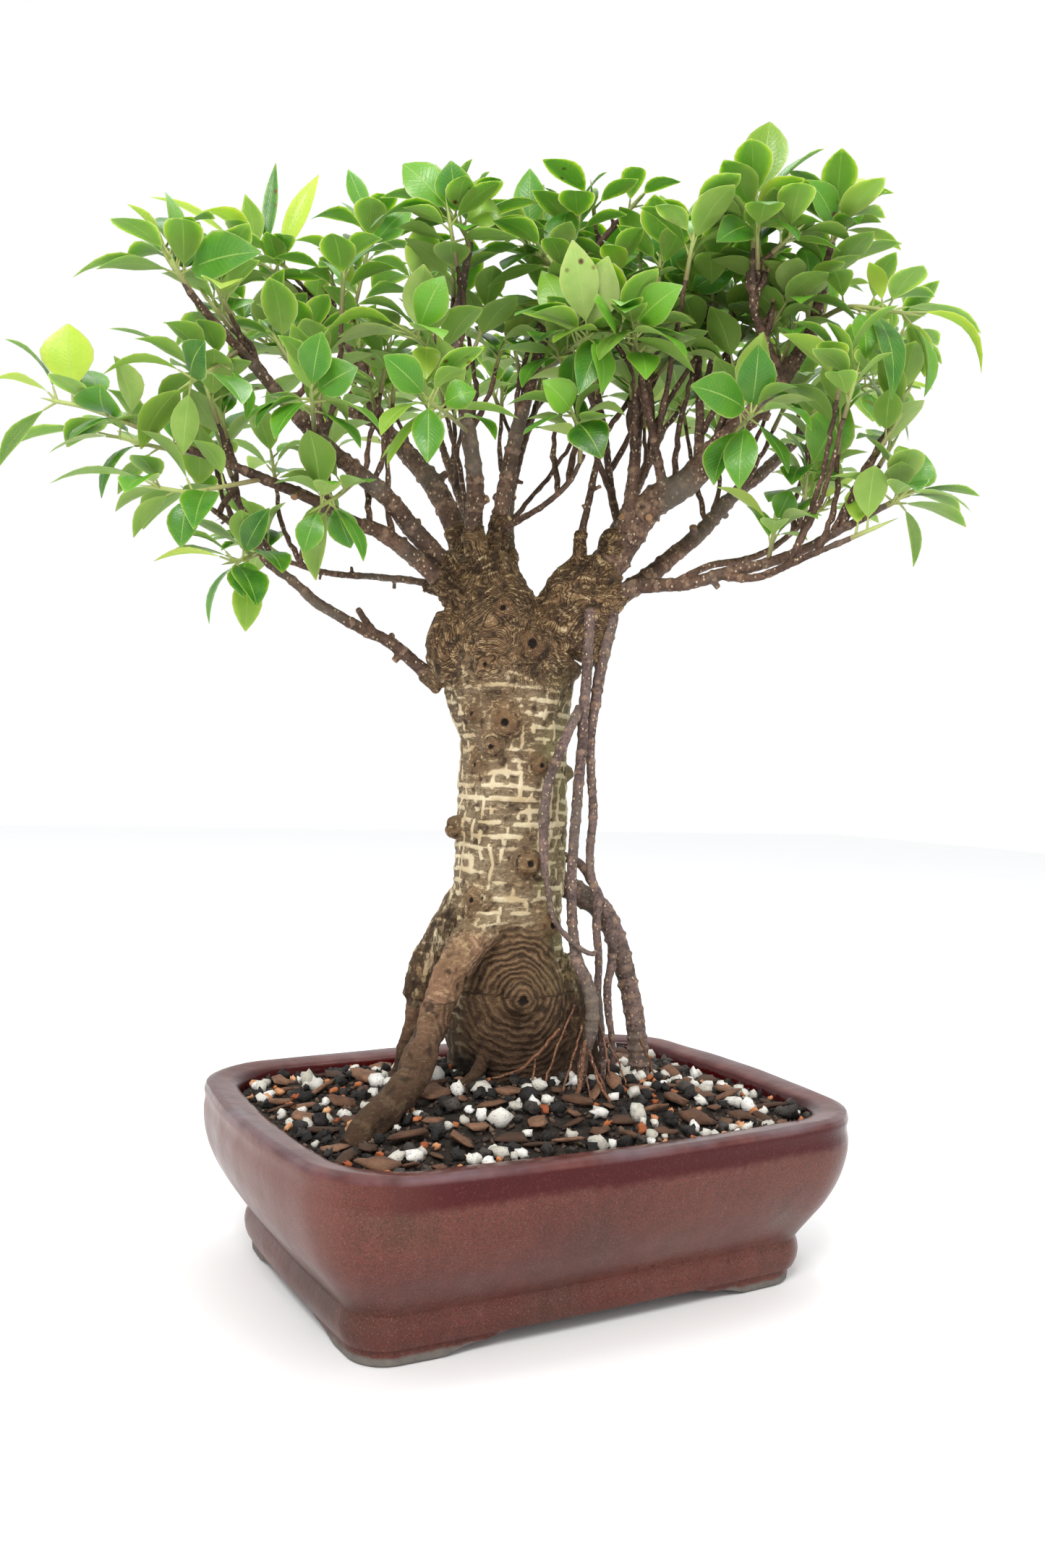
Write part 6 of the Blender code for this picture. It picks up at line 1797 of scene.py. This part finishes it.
class BonsaiStageSettings(bpy.types.PropertyGroup):
    room_light: FloatProperty(name="Room light", description="Strength of the white light all round",
                              default=1.0, min=0, max=5)
    camera_azimuth: FloatProperty(name="Camera azimuth", description="Angle round the pot from its front",
                                  subtype="ANGLE", default=math.radians(-29.32))
    camera_elevation: FloatProperty(name="Camera elevation", description="Angle above the horizon",
                                    subtype="ANGLE", default=math.radians(0.749))
    camera_roll: FloatProperty(name="Camera roll", description="Tilt of the picture",
                               subtype="ANGLE", default=math.radians(2.241))
    camera_distance: FloatProperty(name="Camera distance", description="Distance from the pot's axis",
                                   unit="LENGTH", default=0.6775)
    camera_aside: FloatProperty(name="Camera aside", description="How far right of the pot's axis it looks",
                                unit="LENGTH", default=-0.00717)
    camera_height: FloatProperty(name="Camera height", description="Height it looks at",
                                 unit="LENGTH", default=0.2558)
    camera_lens: FloatProperty(name="Lens", description="Focal length on a 36 mm high frame, in mm",
                               default=29.13)


class BONSAI_OT_pot(bpy.types.Operator):
    """Make the glazed pot and give the drain screens their finish"""
    bl_idname = "bonsai.pot"
    bl_label = "Pot"

    def execute(self, context):
        make_pot()
        finish_screens()
        return {"FINISHED"}


class BONSAI_OT_trunk(bpy.types.Operator):
    """Make the trunk with its roots, knots and ridged bark"""
    bl_idname = "bonsai.trunk"
    bl_label = "Trunk"

    def execute(self, context):
        make_trunk(context.scene.bonsai_wood.trunk_voxel)
        return {"FINISHED"}


class BONSAI_OT_roots(bpy.types.Operator):
    """Make the hanging roots and the hair roots"""
    bl_idname = "bonsai.roots"
    bl_label = "Roots"

    def execute(self, context):
        wood = context.scene.bonsai_wood
        finish = twig_finish("hanging_root_bark", (0.065, 0.042, 0.037), (0.15, 0.1, 0.088), 420)
        for number, (name, path) in enumerate(AERIAL_ROOTS.items()):
            make_wood(name, finish, [path], wood.twig_voxel, ring_spacing=9, stub_count=0,
                      seed=300 + number)
        make_hair_roots()
        return {"FINISHED"}


class BONSAI_OT_branches(bpy.types.Operator):
    """Make the branches with their forks, rings and pruned stubs"""
    bl_idname = "bonsai.branches"
    bl_label = "Branches"

    def execute(self, context):
        wood = context.scene.bonsai_wood
        mid = tuple(wood.twig_colour)
        finish = twig_finish("branch_bark", tuple(0.45 * part for part in mid), mid, 400)
        for number, (name, limbs) in enumerate(BRANCHES.items()):
            make_wood(name, finish, limbs, wood.twig_voxel, wood.ring_spacing,
                      wood.stub_count, 200 + number)
        return {"FINISHED"}


class BONSAI_OT_soil(bpy.types.Operator):
    """Make the compost and its loose grains, after the trunk and the roots"""
    bl_idname = "bonsai.soil"
    bl_label = "Soil"

    def execute(self, context):
        make_soil()
        return {"FINISHED"}


class BONSAI_OT_shoots(bpy.types.Operator):
    """Make the leafy shoots, after the branches"""
    bl_idname = "bonsai.shoots"
    bl_label = "Shoots"

    def execute(self, context):
        settings = context.scene.bonsai_leaves
        obstacles = wood_in_the_way()
        finishes = [leaf_finish("leaf_upper", False), leaf_finish("leaf_lower", True), stalk_finish()]
        moulds = (leaf_pattern(finishes), cone_mould(0.6, finishes), cone_mould(0.08, finishes))
        for number, name in enumerate(SHOOTS):
            make_shoot(name, number, settings.extra_leaves, moulds, obstacles)
        if settings.sprigs:
            bark = bpy.data.materials["branch_bark"]
            for number, name in enumerate(BRANCHES):
                make_sprigs(name, number, settings, bark, moulds, obstacles)
        return {"FINISHED"}


class BONSAI_OT_stage(bpy.types.Operator):
    """Make the floor, the light and the camera"""
    bl_idname = "bonsai.stage"
    bl_label = "Stage"

    def execute(self, context):
        make_stage(context.scene.bonsai_stage)
        make_camera(context.scene.bonsai_stage)
        return {"FINISHED"}


PIECES = ("pot", "trunk", "roots", "branches", "soil", "shoots", "stage")


class BONSAI_PT_panel(bpy.types.Panel):
    """Lists the pieces of the bonsai and their settings"""
    bl_label = "Fig Bonsai"
    bl_idname = "BONSAI_PT_panel"
    bl_space_type = "VIEW_3D"
    bl_region_type = "UI"
    bl_category = "Bonsai"

    def draw(self, context):
        layout = self.layout
        for piece in PIECES:
            layout.operator("bonsai." + piece)
        for group in (context.scene.bonsai_wood, context.scene.bonsai_leaves, context.scene.bonsai_stage):
            box = layout.box()
            for setting in group.__annotations__:
                box.prop(group, setting)


CLASSES = (
    BonsaiWoodSettings, BonsaiLeafSettings, BonsaiStageSettings, BONSAI_OT_pot, BONSAI_OT_trunk,
    BONSAI_OT_roots, BONSAI_OT_branches, BONSAI_OT_soil, BONSAI_OT_shoots, BONSAI_OT_stage, BONSAI_PT_panel,
)


def register():
    for made in CLASSES:
        bpy.utils.register_class(made)
    bpy.types.Scene.bonsai_wood = PointerProperty(type=BonsaiWoodSettings)
    bpy.types.Scene.bonsai_leaves = PointerProperty(type=BonsaiLeafSettings)
    bpy.types.Scene.bonsai_stage = PointerProperty(type=BonsaiStageSettings)


def unregister():
    del bpy.types.Scene.bonsai_stage
    del bpy.types.Scene.bonsai_leaves
    del bpy.types.Scene.bonsai_wood
    for made in reversed(CLASSES):
        bpy.utils.unregister_class(made)


def main():
    register()
    for piece in PIECES:
        getattr(bpy.ops.bonsai, piece)()


if __name__ == "__main__":
    main()
